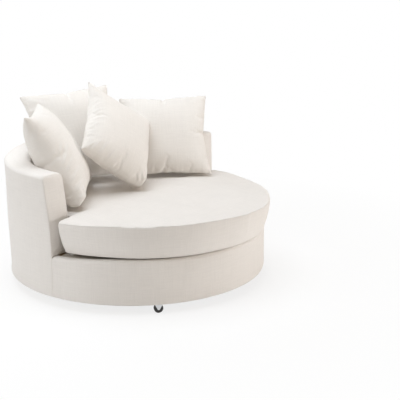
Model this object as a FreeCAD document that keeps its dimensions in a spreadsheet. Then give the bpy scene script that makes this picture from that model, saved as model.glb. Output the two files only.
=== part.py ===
import FreeCAD, Part
import math
import os
import re
import Sketcher

os.makedirs("parts", exist_ok=True)
doc = FreeCAD.newDocument("SwivelBarrelChair")
Vector = FreeCAD.Vector
UP = Vector(0, 0, 1)

# The chair faces -Y. The origin is on the swivel axis at the floor.
# Bearings (angles round the axis) are measured from the front, positive towards +X.

SIZES = {
    # barrel and drum
    "DrumRadius": 645.0,
    "DrumBottom": 45.0,
    "DeckHeight": 232.0,
    "RimHeight": 620.0,
    "RimFlare": 10.0,
    "WallDepth": 137.0,
    "WallLean": 12.0,
    "WallEndBearing": 94.0,
    "DrumSeamBearing": 88.0,
    # covers, wadding and foam
    "CoverThickness": 12.0,
    "InnerPadThickness": 40.0,
    "RimPadDepth": 48.0,
    "RimOuterRound": 26.0,
    "RimInnerRound": 40.0,
    "BorderLipDepth": 8.0,
    "BorderLipReach": 47.0,
    "BorderRound": 10.0,
    "LipSeamGap": 0.3,
    "HemDrop": 5.0,
    # arm end pads
    "ArmToeSetback": -20.0,
    "ArmTopSetback": 8.0,
    "ArmFaceInset": 9.0,
    "ArmTopInset": 26.0,
    "ArmShoulderDepth": 16.0,
    # timber and board frame
    "BoardThickness": 18.0,
    "BoardHoleRadius": 48.0,
    "BoardHolePitch": 400.0,
    "BoardHoleCount": 8.0,
    "BoardCentreRadius": 60.0,
    "PostWidth": 45.0,
    "PostDepth": 45.0,
    "DrumPostCount": 12.0,
    "RingWidth": 143.0,
    "WallPostWidth": 30.0,
    "WallPostDepth": 40.0,
    "WallPostCount": 7.0,
    "RailDepth": 18.0,
    "RailWidth": 70.0,
    "PanelThickness": 4.0,
    "EndBoardThickness": 15.0,
    # seat platform
    "StrapWidth": 60.0,
    "StrapThickness": 1.5,
    "StrapEdgeGap": 53.0,
    "StrapCount": 7.0,
    "ApronBearing": 87.0,
    "SeatClearance": 5.0,
    # under cover
    "DustCoverThickness": 1.5,
    "DustCoverMargin": 43.0,
    "DustCoverHoleRadius": 232.0,
    # swivel unit
    "PadRadius": 18.0,
    "PadHeight": 4.0,
    "PadPitch": 176.0,
    "PadCount": 4.0,
    "FootRadius": 200.0,
    "FootSheet": 3.0,
    "FootCrownRadius": 132.0,
    "FootSlopeRun": 16.0,
    "FootHoleRadius": 30.0,
    "RaceInnerRadius": 62.0,
    "RaceFlange": 3.0,
    "RaceRingInner": 92.0,
    "RaceRingOuter": 118.0,
    "RaceDepth": 9.0,
    "BallRadius": 6.0,
    "BallPitch": 105.0,
    "BallCount": 12.0,
    "GrooveClearance": 0.3,
    "RaceGap": 4.0,
    "CageThickness": 1.6,
    "CageMargin": 3.0,
    "RivetRadius": 3.0,
    "RivetHeadRadius": 5.0,
    "RivetHeadHeight": 2.0,
    "RivetPitch": 77.0,
    "RivetCount": 4.0,
    "PlateSide": 300.0,
    "PlateThickness": 4.0,
    "PlateCornerRound": 20.0,
    "PlateBoltPitch": 185.0,
    "PlateBoltRadius": 4.0,
    "BoltHeadRadius": 7.5,
    "BoltHeadHeight": 5.3,
    "BoltGrip": 12.0,
    # casters
    "CasterInset": 28.0,
    "CasterFrontBearing": 42.5,
    "WheelRadius": 21.5,
    "WheelWidth": 17.0,
    "WheelCrown": 1.5,
    "TyreDepth": 5.5,
    "HubInset": 2.0,
    "HubBossRadius": 7.0,
    "HubWebHalf": 2.5,
    "AxleRadius": 3.0,
    "AxleClearance": 0.05,
    "AxleHeadRadius": 5.0,
    "AxleHeadDepth": 2.5,
    "WheelSideGap": 0.6,
    "BracketSheet": 2.0,
    "BracketLength": 72.0,
    "BracketTipRadius": 7.0,
    "BracketShoulder": 42.0,
    "ScrewRadius": 2.0,
    "ScrewHeadRadius": 4.0,
    "ScrewHeadHeight": 1.5,
    "ScrewGrip": 10.0,
    "ScrewSpread": 60.0,
    "ScrewInset": 5.5,
    # seat cushion
    "CushionInset": 25.0,
    "CushionShift": 55.0,
    "CushionRidge": 404.0,
    "CushionCrown": 24.0,
    "EarCornerRadius": 48.0,
    "NeckRadius": 26.0,
    "EarGap": 4.0,
    "CushionRise": 0.3,
    # loose pillows
    "LargePillow": 490.0,
    "SquatPillow": 482.0,
    "SmallPillow": 438.0,
    "ArmPillowFill": 231.0,
    "BackPillowFill": 145.0,
    "SmallPillowFill": 190.0,
    "SidePillowFill": 145.0,
    "PillowEdge": 9.0,
    # how far one band runs into the next, and a board's play in its slot
    "Overrun": 1.0,
}

# Each pillow: side, fill and height share; its centre's x and y as shares of the drum's radius and its
# height over the cushion as a share of its own side; then turn about Z, lean about its width and roll.
PILLOW_PLACE_SHARES = {
    "pillow_over_arm": ("LargePillow", "ArmPillowFill", 1.0, (-0.51265, 0.34999, 0.44306), (38.7, -29.5, 2.2)),
    "pillow_back_centre": ("LargePillow", "BackPillowFill", 1.03, (-0.01771, 0.61269, 0.47533), (-28.9, -30.0, -3.9)),
    "pillow_front_small": ("SmallPillow", "SmallPillowFill", 1.0, (0.00847, 0.20082, 0.60565), (3.8, -31.9, 41.3)),
    "pillow_back_side": ("SquatPillow", "SidePillowFill", 0.95, (0.60113, 0.18456, 0.40238), (-49.7, -32.5, -1.4)),
}

# Sizes that follow from the ones above.
DERIVED = {
    "BoardBottom": "DrumBottom + HemDrop",
    "BoardTop": "BoardBottom + BoardThickness",
    "FrameRadius": "DrumRadius - CoverThickness",
    "RingBottom": "DeckHeight - BoardThickness",
    "RingInnerRadius": "FrameRadius - RingWidth",
    "RimRadius": "DrumRadius + RimFlare",
    "SeatWallRadius": "DrumRadius - WallDepth",
    "RimSeam": "RimHeight - RimPadDepth",
    "PadFootRadius": "SeatWallRadius + InnerPadThickness",
    "PadHeadRadius": "SeatWallRadius + WallLean + InnerPadThickness",
    "PanelHeadRadius": "PadHeadRadius + PanelThickness",
    "BackHeadRadius": "RimRadius - CoverThickness - PanelThickness",
    "RailOuterRadius": "BackHeadRadius",
    "RailInnerRadius": "PanelHeadRadius",
    "RailBottom": "RimSeam - RailDepth",
    "BorderTop": "DeckHeight + BorderLipDepth",
    "StrapReach": "SeatWallRadius - SeatClearance",
    "StrapPitch": "(2 * StrapReach - StrapWidth - 2 * StrapEdgeGap) / (StrapCount - 1)",
    "DeckCoverBottom": "DeckHeight + 2 * StrapThickness",
    "FootTop": "BoardBottom - PlateThickness - RaceDepth - RaceGap - RaceDepth",
    "BallHeight": "FootTop + RaceDepth + RaceGap / 2",
    "UpperRaceBottom": "FootTop + RaceDepth + RaceGap",
    "PlateBottom": "BoardBottom - PlateThickness",
    "GrooveRadius": "BallRadius + GrooveClearance",
    "DustCoverRadius": "FrameRadius - DustCoverMargin",
    "CasterRadius": "DrumRadius - CasterInset",
    "BracketTop": "BoardBottom",
    "LegInner": "WheelWidth / 2 + WheelSideGap",
    "LegOuter": "WheelWidth / 2 + WheelSideGap + BracketSheet",
    "CushionRadius": "DrumRadius - CushionInset",
    "CushionTop": "CushionRidge + CushionCrown",
    "CushionBottom": "BorderTop + CushionRise",
    "CushionBack": "SeatWallRadius - SeatClearance",
}

sheet = doc.addObject("Spreadsheet::Sheet", "Sizes")
for row, (alias, value) in enumerate(SIZES.items(), start=1):
    sheet.set(f"A{row}", alias)
    sheet.set(f"B{row}", str(value))
    sheet.setAlias(f"B{row}", alias)
doc.recompute()


def bound(text):
    """A formula of named sizes as an expression on the sheet's cells."""
    def word(match):
        name = match.group(0)
        if name in DERIVED:
            return "(" + bound(DERIVED[name]) + ")"
        return "Sizes." + name if name in SIZES else name
    return re.sub(r"[A-Za-z]\w*", word, text)


def size(text):
    """The present value of a formula of named sizes."""
    return float(sheet.evalExpression(bound(text)))


def bind(item, **formulas):
    """Tie properties of an object to formulas; a double underscore stands for a dot."""
    for name, text in formulas.items():
        item.setExpression(name.replace("__", "."), bound(text))
    return item


def settle(item, x="0", y="0", z="0", bearing="0"):
    """Place an object at x, y, z, turned about the vertical."""
    bind(item, Placement__Base__x=x, Placement__Base__y=y, Placement__Base__z=z)
    bind(item, Placement__Rotation__Angle=bearing)
    return item


def named(item, label):
    item.Label = label
    return item


def plane_of(body, role):
    return next(item for item in body.Origin.OriginFeatures if item.Role == role)


def new_body(label):
    return named(doc.addObject("PartDesign::Body", label), label)


def new_sketch(body, role, label):
    sketch = body.newObject("Sketcher::SketchObject", label)
    sketch.AttachmentSupport = (plane_of(body, role), [""])
    sketch.MapMode = "FlatFace"
    return sketch


def pin_point(sketch, index, end, x, y):
    """Hold one end of a sketch line or arc at a place given by two formulas."""
    for kind, axis, text in (("DistanceX", -2, x), ("DistanceY", -1, y)):
        value = size(text)
        if abs(value) < 1e-9:
            sketch.addConstraint(Sketcher.Constraint("PointOnObject", index, end, axis))
        else:
            number = sketch.addConstraint(Sketcher.Constraint(kind, -1, 1, index, end, value))
            sketch.setExpression(f"Constraints[{number}]", bound(text))


def outline(sketch, corners):
    """A closed outline: each corner is x, y and, for an arc that leads to it, the arc's radius.

    A positive radius bulges to the right of the direction of travel, a negative one to the left.
    """
    count = len(corners)
    points = [Vector(size(corner[0]), size(corner[1]), 0) for corner in corners]
    first = sketch.GeometryCount
    for number in range(count):
        start, end = points[number], points[(number + 1) % count]
        corner = corners[(number + 1) % count]
        if len(corner) == 2:
            sketch.addGeometry(Part.LineSegment(start, end), False)
            continue
        radius = abs(size(corner[2]))
        side = math.copysign(1, size(corner[2]))
        chord = end - start
        across = Vector(chord.y, -chord.x, 0).normalize() * side
        rise = radius - math.sqrt(max(radius ** 2 - chord.Length ** 2 / 4, 0))
        middle = (start + end) / 2 + across * rise
        sketch.addGeometry(Part.Arc(start, middle, end), False)
    for number in range(count):
        here, following = first + number, first + (number + 1) % count
        ends = []
        wanted = points[(number + 1) % count]
        for index in (here, following):
            near = min((1, 2), key=lambda end: (sketch.getPoint(index, end) - wanted).Length)
            ends.append((index, near))
        sketch.addConstraint(Sketcher.Constraint("Coincident", *ends[0], *ends[1]))
        x, y = corners[(number + 1) % count][:2]
        pin_point(sketch, ends[0][0], ends[0][1], x, y)
        corner = corners[(number + 1) % count]
        if len(corner) == 3:
            value = abs(size(corner[2]))
            radius = sketch.addConstraint(Sketcher.Constraint("Radius", here, value))
            sketch.setExpression(f"Constraints[{radius}]", bound(corner[2].lstrip("-")))


def circle(sketch, x, y, radius):
    index = sketch.addGeometry(Part.Circle(Vector(size(x), size(y), 0), UP, size(radius)), False)
    if size(x) == 0 and size(y) == 0:
        sketch.addConstraint(Sketcher.Constraint("Coincident", index, 3, -1, 1))
    else:
        pin_point(sketch, index, 3, x, y)
    number = sketch.addConstraint(Sketcher.Constraint("Radius", index, size(radius)))
    sketch.setExpression(f"Constraints[{number}]", bound(radius))
    return index


def revolve(body, corners, sweep="360", role="YZ_Plane", label="Profile"):
    """Revolve an outline of radius and height about the upright axis."""
    sketch = new_sketch(body, role, body.Label + label)
    outline(sketch, corners)
    turn = body.newObject("PartDesign::Revolution", body.Label + label + "Turn")
    turn.Profile = sketch
    turn.ReferenceAxis = (sketch, ["V_Axis"])
    turn.Midplane = True
    bind(turn, Angle=sweep)
    body.Tip = turn
    return turn


def pad(body, sketch, depth, label="Pad", reversed_way=False):
    item = body.newObject("PartDesign::Pad", body.Label + label)
    item.Profile = sketch
    item.Reversed = reversed_way
    bind(item, Length=depth)
    body.Tip = item
    return item


def polar(body, feature, count, label="Ring"):
    item = body.newObject("PartDesign::PolarPattern", body.Label + label)
    item.Originals = [feature]
    item.Axis = (plane_of(body, "Z_Axis"), [""])
    item.Angle = 360
    bind(item, Occurrences=count)
    body.Tip = item
    return item


def cylinder(label, radius, height, sweep="360"):
    return bind(doc.addObject("Part::Cylinder", label), Radius=radius, Height=height, Angle=sweep)


def block(label, length, width, height):
    return bind(doc.addObject("Part::Box", label), Length=length, Width=width, Height=height)


def fused(label, pieces):
    item = doc.addObject("Part::MultiFuse", label)
    item.Shapes = pieces
    return item


def cut(label, base, tool):
    item = doc.addObject("Part::Cut", label)
    item.Base = base
    item.Tool = tool
    return item


def group(label, pieces):
    """Identical loose pieces kept as one node of separate solids."""
    item = doc.addObject("Part::Compound", label)
    item.Links = pieces
    return named(item, label)


def copies(count, start="0"):
    """Bearings of a number of pieces spread evenly round the axis."""
    total = round(size(count))
    return [f"{start} + 360 * {number} / {count}" for number in range(total)]


def at_bearing(item, radius, bearing, z):
    """Put an object on a circle about the axis, its own +X pointing outwards."""
    settle(item, f"({radius}) * sin({bearing})", f"-({radius}) * cos({bearing})", z, f"{bearing} - 90")
    return item


# Floor foot: four rubber pads carry a dished steel disc.

def floor_pads():
    pieces = []
    for number, bearing in enumerate(copies("PadCount", "45")):
        floor_pad = cylinder(f"FloorPad{number}", "PadRadius", "PadHeight")
        pieces.append(at_bearing(floor_pad, "PadPitch", bearing, "0"))
    return group("floor_pads", pieces)


def floor_plate():
    body = new_body("floor_plate")
    revolve(body, [
        ("FootHoleRadius", "FootTop - FootSheet"),
        ("FootCrownRadius - FootSheet / 2", "FootTop - FootSheet"),
        ("FootCrownRadius + FootSlopeRun - FootSheet / 2", "PadHeight"),
        ("FootRadius", "PadHeight"),
        ("FootRadius", "PadHeight + FootSheet"),
        ("FootCrownRadius + FootSlopeRun + FootSheet / 2", "PadHeight + FootSheet"),
        ("FootCrownRadius + FootSheet / 2", "FootTop"),
        ("FootHoleRadius", "FootTop"),
    ])
    drill(body, "RivetPitch", "RivetRadius", "RivetCount")
    return body


def drill(body, pitch, radius, count, start="0"):
    """A ring of round holes right through a body, square to the axis."""
    sketch = new_sketch(body, "XY_Plane", body.Label + "HoleSketch")
    circle(sketch, f"({pitch}) * sin({start})", f"-({pitch}) * cos({start})", radius)
    doc.recompute()
    before = body.Shape.Volume
    hole = body.newObject("PartDesign::Pocket", body.Label + "Hole")
    hole.Profile = sketch
    hole.Type = 1
    hole.Midplane = True
    doc.recompute()
    if hole.Shape.Volume >= before:
        hole.Midplane = False
        hole.Reversed = True
    polar(body, hole, count, "HoleRing")
    doc.recompute()
    assert body.Shape.Volume < before, body.Label + " was not drilled"


# Swivel bearing: two turned races, a caged ring of balls, rivets, and the plate under the board.

def race(label, flange_side):
    """One race: a flat flange inside, a thicker ring outside with the ball groove."""
    body = new_body(label)
    if flange_side == "lower":
        flat, lip, groove = "FootTop", "FootTop + RaceFlange", "FootTop + RaceDepth"
    else:
        flat, lip, groove = "PlateBottom", "PlateBottom - RaceFlange", "UpperRaceBottom"
    half = "sqrt(GrooveRadius ^ 2 - (RaceGap / 2) ^ 2)"
    bulge = "-GrooveRadius" if flange_side == "lower" else "GrooveRadius"
    revolve(body, [
        ("RaceInnerRadius", flat),
        ("RaceRingOuter", flat),
        ("RaceRingOuter", groove),
        (f"BallPitch + {half}", groove),
        (f"BallPitch - {half}", groove, bulge),
        ("RaceRingInner", groove),
        ("RaceRingInner", lip),
        ("RaceInnerRadius", lip),
    ])
    drill(body, "RivetPitch", "RivetRadius", "RivetCount")
    return body


def swivel_balls():
    pieces = []
    for number, bearing in enumerate(copies("BallCount")):
        ball = bind(doc.addObject("Part::Sphere", f"Ball{number}"), Radius="BallRadius")
        pieces.append(at_bearing(ball, "BallPitch", bearing, "BallHeight"))
    return group("swivel_balls", pieces)


def ball_cage():
    body = new_body("ball_cage")
    revolve(body, [
        ("RaceRingInner + CageMargin", "BallHeight - CageThickness / 2"),
        ("RaceRingOuter - CageMargin", "BallHeight - CageThickness / 2"),
        ("RaceRingOuter - CageMargin", "BallHeight + CageThickness / 2"),
        ("RaceRingInner + CageMargin", "BallHeight + CageThickness / 2"),
    ])
    drill(body, "BallPitch", "GrooveRadius", "BallCount")
    return body


def fastener(label, radius, grip, head_radius, head_height, head_below):
    """A shank with one round head; the joint face is at z = 0 and the shank points up or down."""
    shank = cylinder(label + "Shank", radius, grip)
    head = cylinder(label + "Head", head_radius, head_height)
    if head_below:
        settle(head, z=f"-({head_height})")
    else:
        settle(shank, z=f"-({grip})")
    return fused(label, [shank, head])


def ring_of_fasteners(label, count, start, pitch, z, make):
    pieces = []
    for number, bearing in enumerate(copies(count, start)):
        pieces.append(at_bearing(make(f"{label}{number}"), pitch, bearing, z))
    return group(label, pieces)


def race_rivets(label, z, head_below, grip):
    def make(name):
        return fastener(name, "RivetRadius", grip, "RivetHeadRadius", "RivetHeadHeight", head_below)
    return ring_of_fasteners(label, "RivetCount", "0", "RivetPitch", z, make)


def swivel_plate():
    body = new_body("swivel_plate")
    sketch = new_sketch(body, "XY_Plane", "swivel_plateOutline")
    half = "PlateSide / 2"
    flat = "(PlateSide / 2 - PlateCornerRound)"
    outline(sketch, [
        (f"-{flat}", f"-{half}", "PlateCornerRound"), (flat, f"-{half}"),
        (half, f"-{flat}", "PlateCornerRound"), (half, flat),
        (flat, half, "PlateCornerRound"), (f"-{flat}", half),
        (f"-{half}", flat, "PlateCornerRound"), (f"-{half}", f"-{flat}"),
    ])
    circle(sketch, "0", "0", "RaceInnerRadius")
    pad(body, sketch, "PlateThickness")
    drill(body, "RivetPitch", "RivetRadius", "RivetCount")
    corner_holes(body)
    settle(body, z="PlateBottom")
    return body


def corner_holes(body):
    """Four bolt holes on the plate's diagonals."""
    sketch = new_sketch(body, "XY_Plane", body.Label + "BoltSketch")
    reach = "(PlateBoltPitch * sin(45))"
    for across in ("", "-"):
        for along in ("", "-"):
            circle(sketch, across + reach, along + reach, "PlateBoltRadius")
    doc.recompute()
    before = body.Shape.Volume
    hole = body.newObject("PartDesign::Pocket", body.Label + "BoltHoles")
    hole.Profile = sketch
    hole.Type = 1
    hole.Midplane = True
    body.Tip = hole
    doc.recompute()
    assert body.Shape.Volume < before, body.Label + " has no bolt holes"


def plate_bolts():
    def make(name):
        return fastener(name, "PlateBoltRadius", "BoltGrip + PlateThickness", "BoltHeadRadius",
                        "BoltHeadHeight", True)
    return ring_of_fasteners("swivel_plate_bolts", "4", "45", "PlateBoltPitch", "PlateBottom", make)


# Drum frame: board, posts and deck ring, with the webbing and its cover.

def bottom_board():
    body = new_body("bottom_board")
    sketch = new_sketch(body, "XY_Plane", "bottom_boardOutline")
    circle(sketch, "0", "0", "FrameRadius")
    circle(sketch, "0", "0", "BoardCentreRadius")
    pad(body, sketch, "BoardThickness")
    drill(body, "BoardHolePitch", "BoardHoleRadius", "BoardHoleCount")
    settle(body, z="BoardBottom")
    sockets = [cylinder(f"BoltSocket{number}", "PlateBoltRadius", "BoltGrip") for number in range(4)]
    for socket, bearing in zip(sockets, copies("4", "45")):
        at_bearing(socket, "PlateBoltPitch", bearing, "BoardBottom")
    sockets += [screw_socket(number, *place) for number, place in enumerate(screw_places())]
    board = cut("bottom_board_cut", body, fused("BoardSockets", sockets))
    body.Label = "bottom_board_blank"
    return named(board, "bottom_board")


def drum_posts():
    pieces = []
    for number, bearing in enumerate(copies("DrumPostCount", "180 / DrumPostCount")):
        post = block(f"DrumPost{number}", "PostDepth", "PostWidth", "RingBottom - BoardTop")
        place_block(post, "FrameRadius - PostDepth - CoverThickness", bearing, "BoardTop", "PostWidth")
        pieces.append(post)
    return group("drum_posts", pieces)


def place_block(item, inner_radius, bearing, z, width):
    """Stand a box on a radius, centred on its width, its length running outwards."""
    x = f"({inner_radius}) * sin({bearing}) - ({width}) / 2 * cos({bearing})"
    y = f"-({inner_radius}) * cos({bearing}) - ({width}) / 2 * sin({bearing})"
    return settle(item, x, y, z, f"{bearing} - 90")


def deck_ring():
    body = new_body("deck_ring")
    revolve(body, [
        ("RingInnerRadius", "RingBottom"), ("FrameRadius", "RingBottom"),
        ("FrameRadius", "DeckHeight"), ("RingInnerRadius", "DeckHeight"),
    ])
    return body


def webbing(label, z, turned):
    """Straps across the ring, each as long as the chord that it bridges."""
    pieces = []
    count = round(size("StrapCount"))
    for number in range(count):
        offset = f"(StrapPitch * ({number} - (StrapCount - 1) / 2))"
        edge = f"(abs({offset}) + StrapWidth / 2)"
        half = f"sqrt(StrapReach ^ 2 - {edge} ^ 2)"
        strap = block(f"{label}{number}", f"2 * {half}", "StrapWidth", "StrapThickness")
        if turned:
            settle(strap, f"{offset} + StrapWidth / 2", f"-{half}", z, "90")
        else:
            settle(strap, f"-{half}", f"{offset} - StrapWidth / 2", z)
        pieces.append(strap)
    return group(label, pieces)


def deck_cover():
    """Cloth over the webbing: a disc inside the barrel and a wider apron at the front."""
    thickness = "BorderTop - DeckCoverBottom"
    disc = cylinder("DeckDisc", "StrapReach", thickness)
    apron = cylinder("DeckApron", "DrumRadius - BorderLipReach", thickness, "2 * ApronBearing")
    settle(apron, bearing="-90 - ApronBearing")
    quilt = fused("deck_cover", [disc, apron])
    return named(settle(quilt, z="DeckCoverBottom"), "deck_cover")


def dust_cover():
    body = new_body("dust_cover")
    revolve(body, [
        ("DustCoverHoleRadius", "BoardBottom - DustCoverThickness"),
        ("DustCoverRadius", "BoardBottom - DustCoverThickness"),
        ("DustCoverRadius", "BoardBottom"), ("DustCoverHoleRadius", "BoardBottom"),
    ])
    return body


# Barrel wall: posts, rail and panels inside, pads and covers outside.

WALL_SWEEP = "360 - 2 * WallEndBearing"


def outer_cover():
    """The padded outside cover: the drum part round to the border's seams, the wall part above."""
    body = new_body("outer_cover")
    revolve(body, [
        ("FrameRadius", "DrumBottom"), ("DrumRadius", "DrumBottom"),
        ("DrumRadius", "DeckHeight"), ("FrameRadius", "DeckHeight"),
    ], "360 - 2 * DrumSeamBearing", label="Drum")
    revolve(body, [
        ("FrameRadius", "DeckHeight - Overrun"), ("DrumRadius", "DeckHeight - Overrun"),
        ("DrumRadius", "DeckHeight"), ("RimRadius", "RimSeam"),
        ("RimRadius - CoverThickness", "RimSeam"), ("FrameRadius", "DeckHeight"),
    ], WALL_SWEEP, label="Wall")
    return body


def front_border():
    """The padded band round the front of the drum, rounded over at its top."""
    body = new_body("front_border")
    revolve(body, [
        ("FrameRadius", "DrumBottom"), ("DrumRadius", "DrumBottom"),
        ("DrumRadius", "BorderTop - BorderRound"),
        ("DrumRadius - BorderRound", "BorderTop", "BorderRound"),
        ("FrameRadius", "BorderTop"),
    ], "2 * DrumSeamBearing")
    return settle(body, bearing="180")


def border_lip():
    """The strip of padding that turns in from the band's top over the deck ring."""
    body = new_body("border_lip")
    revolve(body, [
        ("DrumRadius - BorderLipReach", "DeckHeight"), ("FrameRadius - LipSeamGap", "DeckHeight"),
        ("FrameRadius - LipSeamGap", "BorderTop"), ("DrumRadius - BorderLipReach", "BorderTop"),
    ], "2 * DrumSeamBearing")
    return settle(body, bearing="180")


def back_panel():
    body = new_body("back_panel")
    revolve(body, [
        ("FrameRadius - PanelThickness", "DeckHeight"), ("FrameRadius", "DeckHeight"),
        ("RimRadius - CoverThickness", "RimSeam"), ("BackHeadRadius", "RimSeam"),
    ], WALL_SWEEP)
    return body


def inner_panel():
    body = new_body("inner_panel")
    revolve(body, [
        ("PadFootRadius", "DeckHeight"), ("PadFootRadius + PanelThickness", "DeckHeight"),
        ("PanelHeadRadius", "RimSeam"), ("PadHeadRadius", "RimSeam"),
    ], WALL_SWEEP)
    return body


def top_rail():
    body = new_body("top_rail")
    inner = "PadFootRadius + PanelThickness + WallLean * (RailBottom - DeckHeight) / (RimSeam - DeckHeight)"
    outer = "FrameRadius - PanelThickness + RimFlare * (RailBottom - DeckHeight) / (RimSeam - DeckHeight)"
    revolve(body, [
        (inner, "RailBottom"), (outer, "RailBottom"),
        ("BackHeadRadius", "RimSeam"), ("PanelHeadRadius", "RimSeam"),
    ], WALL_SWEEP)
    return body


def wall_posts():
    pieces = []
    room = "(FrameRadius - PanelThickness - PanelHeadRadius)"
    for number in range(round(size("WallPostCount"))):
        step = f"(360 - 2 * WallEndBearing) * ({number} + 0.5) / WallPostCount"
        post = block(f"WallPost{number}", "WallPostDepth", "WallPostWidth", "RailBottom - DeckHeight")
        place_block(post, f"PanelHeadRadius + ({room} - WallPostDepth) / 2", f"(WallEndBearing + {step})",
                    "DeckHeight", "WallPostWidth")
        pieces.append(post)
    return group("wall_posts", pieces)


def arm_end_boards():
    """Upright boards that close the wall's two ends, just inside the end pads."""
    pieces = []
    room = "(FrameRadius - PanelThickness - PanelHeadRadius)"
    inset = "(EndBoardThickness / 2 + Overrun) / FrameRadius * 180 / pi"
    for number, sign in enumerate(("", "-")):
        board = block(f"EndBoard{number}", f"{room} - 2 * Overrun", "EndBoardThickness",
                      "RailBottom - DeckHeight")
        bearing = f"({sign}(WallEndBearing + {inset}))"
        place_block(board, "PanelHeadRadius + Overrun", bearing, "DeckHeight", "EndBoardThickness")
        pieces.append(board)
    return group("arm_end_boards", pieces)


def inner_back_pad():
    body = new_body("inner_back_pad")
    revolve(body, [
        ("SeatWallRadius", "DeckHeight"), ("PadFootRadius", "DeckHeight"),
        ("PadHeadRadius", "RimSeam"), ("SeatWallRadius + WallLean", "RimSeam"),
    ], WALL_SWEEP)
    return body


def rim_pad():
    """The thick pad along the top of the wall, softly rounded over both edges."""
    body = new_body("rim_pad")
    revolve(body, [
        ("SeatWallRadius + WallLean", "RimSeam"), ("RimRadius", "RimSeam"),
        ("RimRadius", "RimHeight - RimOuterRound"),
        ("RimRadius - RimOuterRound", "RimHeight", "RimOuterRound"),
        ("SeatWallRadius + WallLean + RimInnerRound", "RimHeight"),
        ("SeatWallRadius + WallLean", "RimHeight - RimInnerRound", "RimInnerRound"),
    ], WALL_SWEEP)
    return body


def wall_section(inset, top_inset):
    """Corner points of the wall's cross section, drawn in by an inset: radius and height."""
    foot, seam, rim = size("DeckHeight"), size("RimSeam"), size("RimHeight")
    outer_round, inner_round = size("RimOuterRound"), size("RimInnerRound")
    outer_foot, outer_top = size("DrumRadius") - inset, size("RimRadius") - inset
    inner_foot, inner_top = size("SeatWallRadius") + inset, size("SeatWallRadius + WallLean") + top_inset
    top = rim - inset
    rounding = 1 - math.sqrt(0.5)
    return [
        (outer_foot, foot), (outer_top, seam), (outer_top, top - outer_round),
        (outer_top - outer_round * rounding, top - outer_round * rounding),
        (outer_top - outer_round, top), (inner_top + inner_round, top),
        (inner_top + inner_round * rounding, top - inner_round * rounding),
        (inner_top, top - inner_round), (inner_foot, foot),
    ]


def section_wire(points):
    """Lines and two rounded corners through the nine points of a wall section."""
    foot_outer, seam, round_start, round_middle, round_end = points[:5]
    top_inner, inner_middle, inner_end, foot_inner = points[5:]
    return Part.Wire([
        Part.makeLine(foot_outer, seam), Part.makeLine(seam, round_start),
        Part.Arc(round_start, round_middle, round_end).toShape(), Part.makeLine(round_end, top_inner),
        Part.Arc(top_inner, inner_middle, inner_end).toShape(), Part.makeLine(inner_end, foot_inner),
        Part.makeLine(foot_inner, foot_outer),
    ])


ARM_SHOULDER_SHARES = [(1.0, 0.04), (0.55, 0.2), (0.2, 0.5), (0.0, 1.0)]


def arm_pad(label, side):
    """Foam and cover on a wall end: from the wall's own section out to a smaller, raked face."""
    bearing = math.radians(size("WallEndBearing"))
    start = [Vector(side * radius * math.sin(bearing), -radius * math.cos(bearing), z)
             for radius, z in wall_section(0, 0)]
    toe, rake = size("ArmToeSetback"), size("ArmTopSetback") - size("ArmToeSetback")
    foot, rim = size("DeckHeight"), size("RimHeight")

    def raked(points, behind):
        """Points of a section on the arm's raked face, or some way behind it."""
        placed = []
        for radius, z in points:
            back = toe + rake * (z - foot) / (rim - foot) + behind
            placed.append(Vector(side * math.sqrt(radius ** 2 - back ** 2), back, z))
        return placed

    depth, inset, top_inset = size("ArmShoulderDepth"), size("ArmFaceInset"), size("ArmTopInset")
    sections = [start]
    for back_share, inset_share in ARM_SHOULDER_SHARES:
        section = wall_section(inset * inset_share, top_inset * inset_share)
        sections.append(raked(section, depth * back_share))
    shape = Part.makeLoft([section_wire(points) for points in sections], True, True)
    item = doc.addObject("Part::Feature", label)
    item.Shape = shape
    return named(item, label)


# Casters: four fixed brackets under the rim, each with a wheel that rolls along the circle.

CASTERS = {
    "front_left": "-CasterFrontBearing",
    "front_right": "CasterFrontBearing",
    "rear_right": "180 - CasterFrontBearing",
    "rear_left": "180 + CasterFrontBearing",
}


def caster_bracket(name, bearing):
    """A pressed plate with two legs that narrow to the axle."""
    plate = block(f"Plate_{name}", "2 * LegOuter", "BracketLength", "BracketSheet")
    settle(plate, "-LegOuter", "-BracketLength / 2", "BracketTop - BracketSheet")
    legs = []
    for side, start in (("outer", "LegInner"), ("inner", "-LegOuter")):
        legs.append(caster_leg(f"Leg_{side}_{name}", start))
    bracket = fused(f"Bracket_{name}", [plate] + legs)
    holes = [screw_socket_local(f"BracketHole_{name}_{number}", place)
             for number, place in enumerate(SCREW_CORNERS)]
    drilled = cut(f"BracketCut_{name}", bracket, fused(f"BracketHoles_{name}", holes))
    return at_bearing(drilled, "CasterRadius", f"({bearing})", "0")


def caster_leg(label, start):
    """A flat leg: wide shoulders at the plate, tangent to a round tip about the axle hole."""
    shoulder, tip = size("BracketShoulder") / 2, size("BracketTipRadius")
    top, axle = size("BracketTop - BracketSheet"), size("WheelRadius")
    rise = top - axle
    reach = math.hypot(shoulder, rise)
    lean = math.atan2(rise, shoulder) - math.acos(tip / reach)
    touch_y, touch_z = tip * math.cos(lean), axle + tip * math.sin(lean)
    x = size(start)
    right, left = Vector(x, touch_y, touch_z), Vector(x, -touch_y, touch_z)
    wire = Part.Wire([
        Part.makeLine(Vector(x, -shoulder, top), Vector(x, shoulder, top)),
        Part.makeLine(Vector(x, shoulder, top), right),
        Part.Arc(right, Vector(x, 0, axle - tip), left).toShape(),
        Part.makeLine(left, Vector(x, -shoulder, top)),
    ])
    plain = Part.Face(wire).extrude(Vector(size("BracketSheet"), 0, 0))
    hole = Part.makeCylinder(size("AxleRadius"), size("BracketSheet"), Vector(x, 0, axle), Vector(1, 0, 0))
    leg = doc.addObject("Part::Feature", label)
    leg.Shape = plain.cut(hole)
    return leg


SCREW_CORNERS = [(1, 1), (1, -1), (-1, 1), (-1, -1)]


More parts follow.
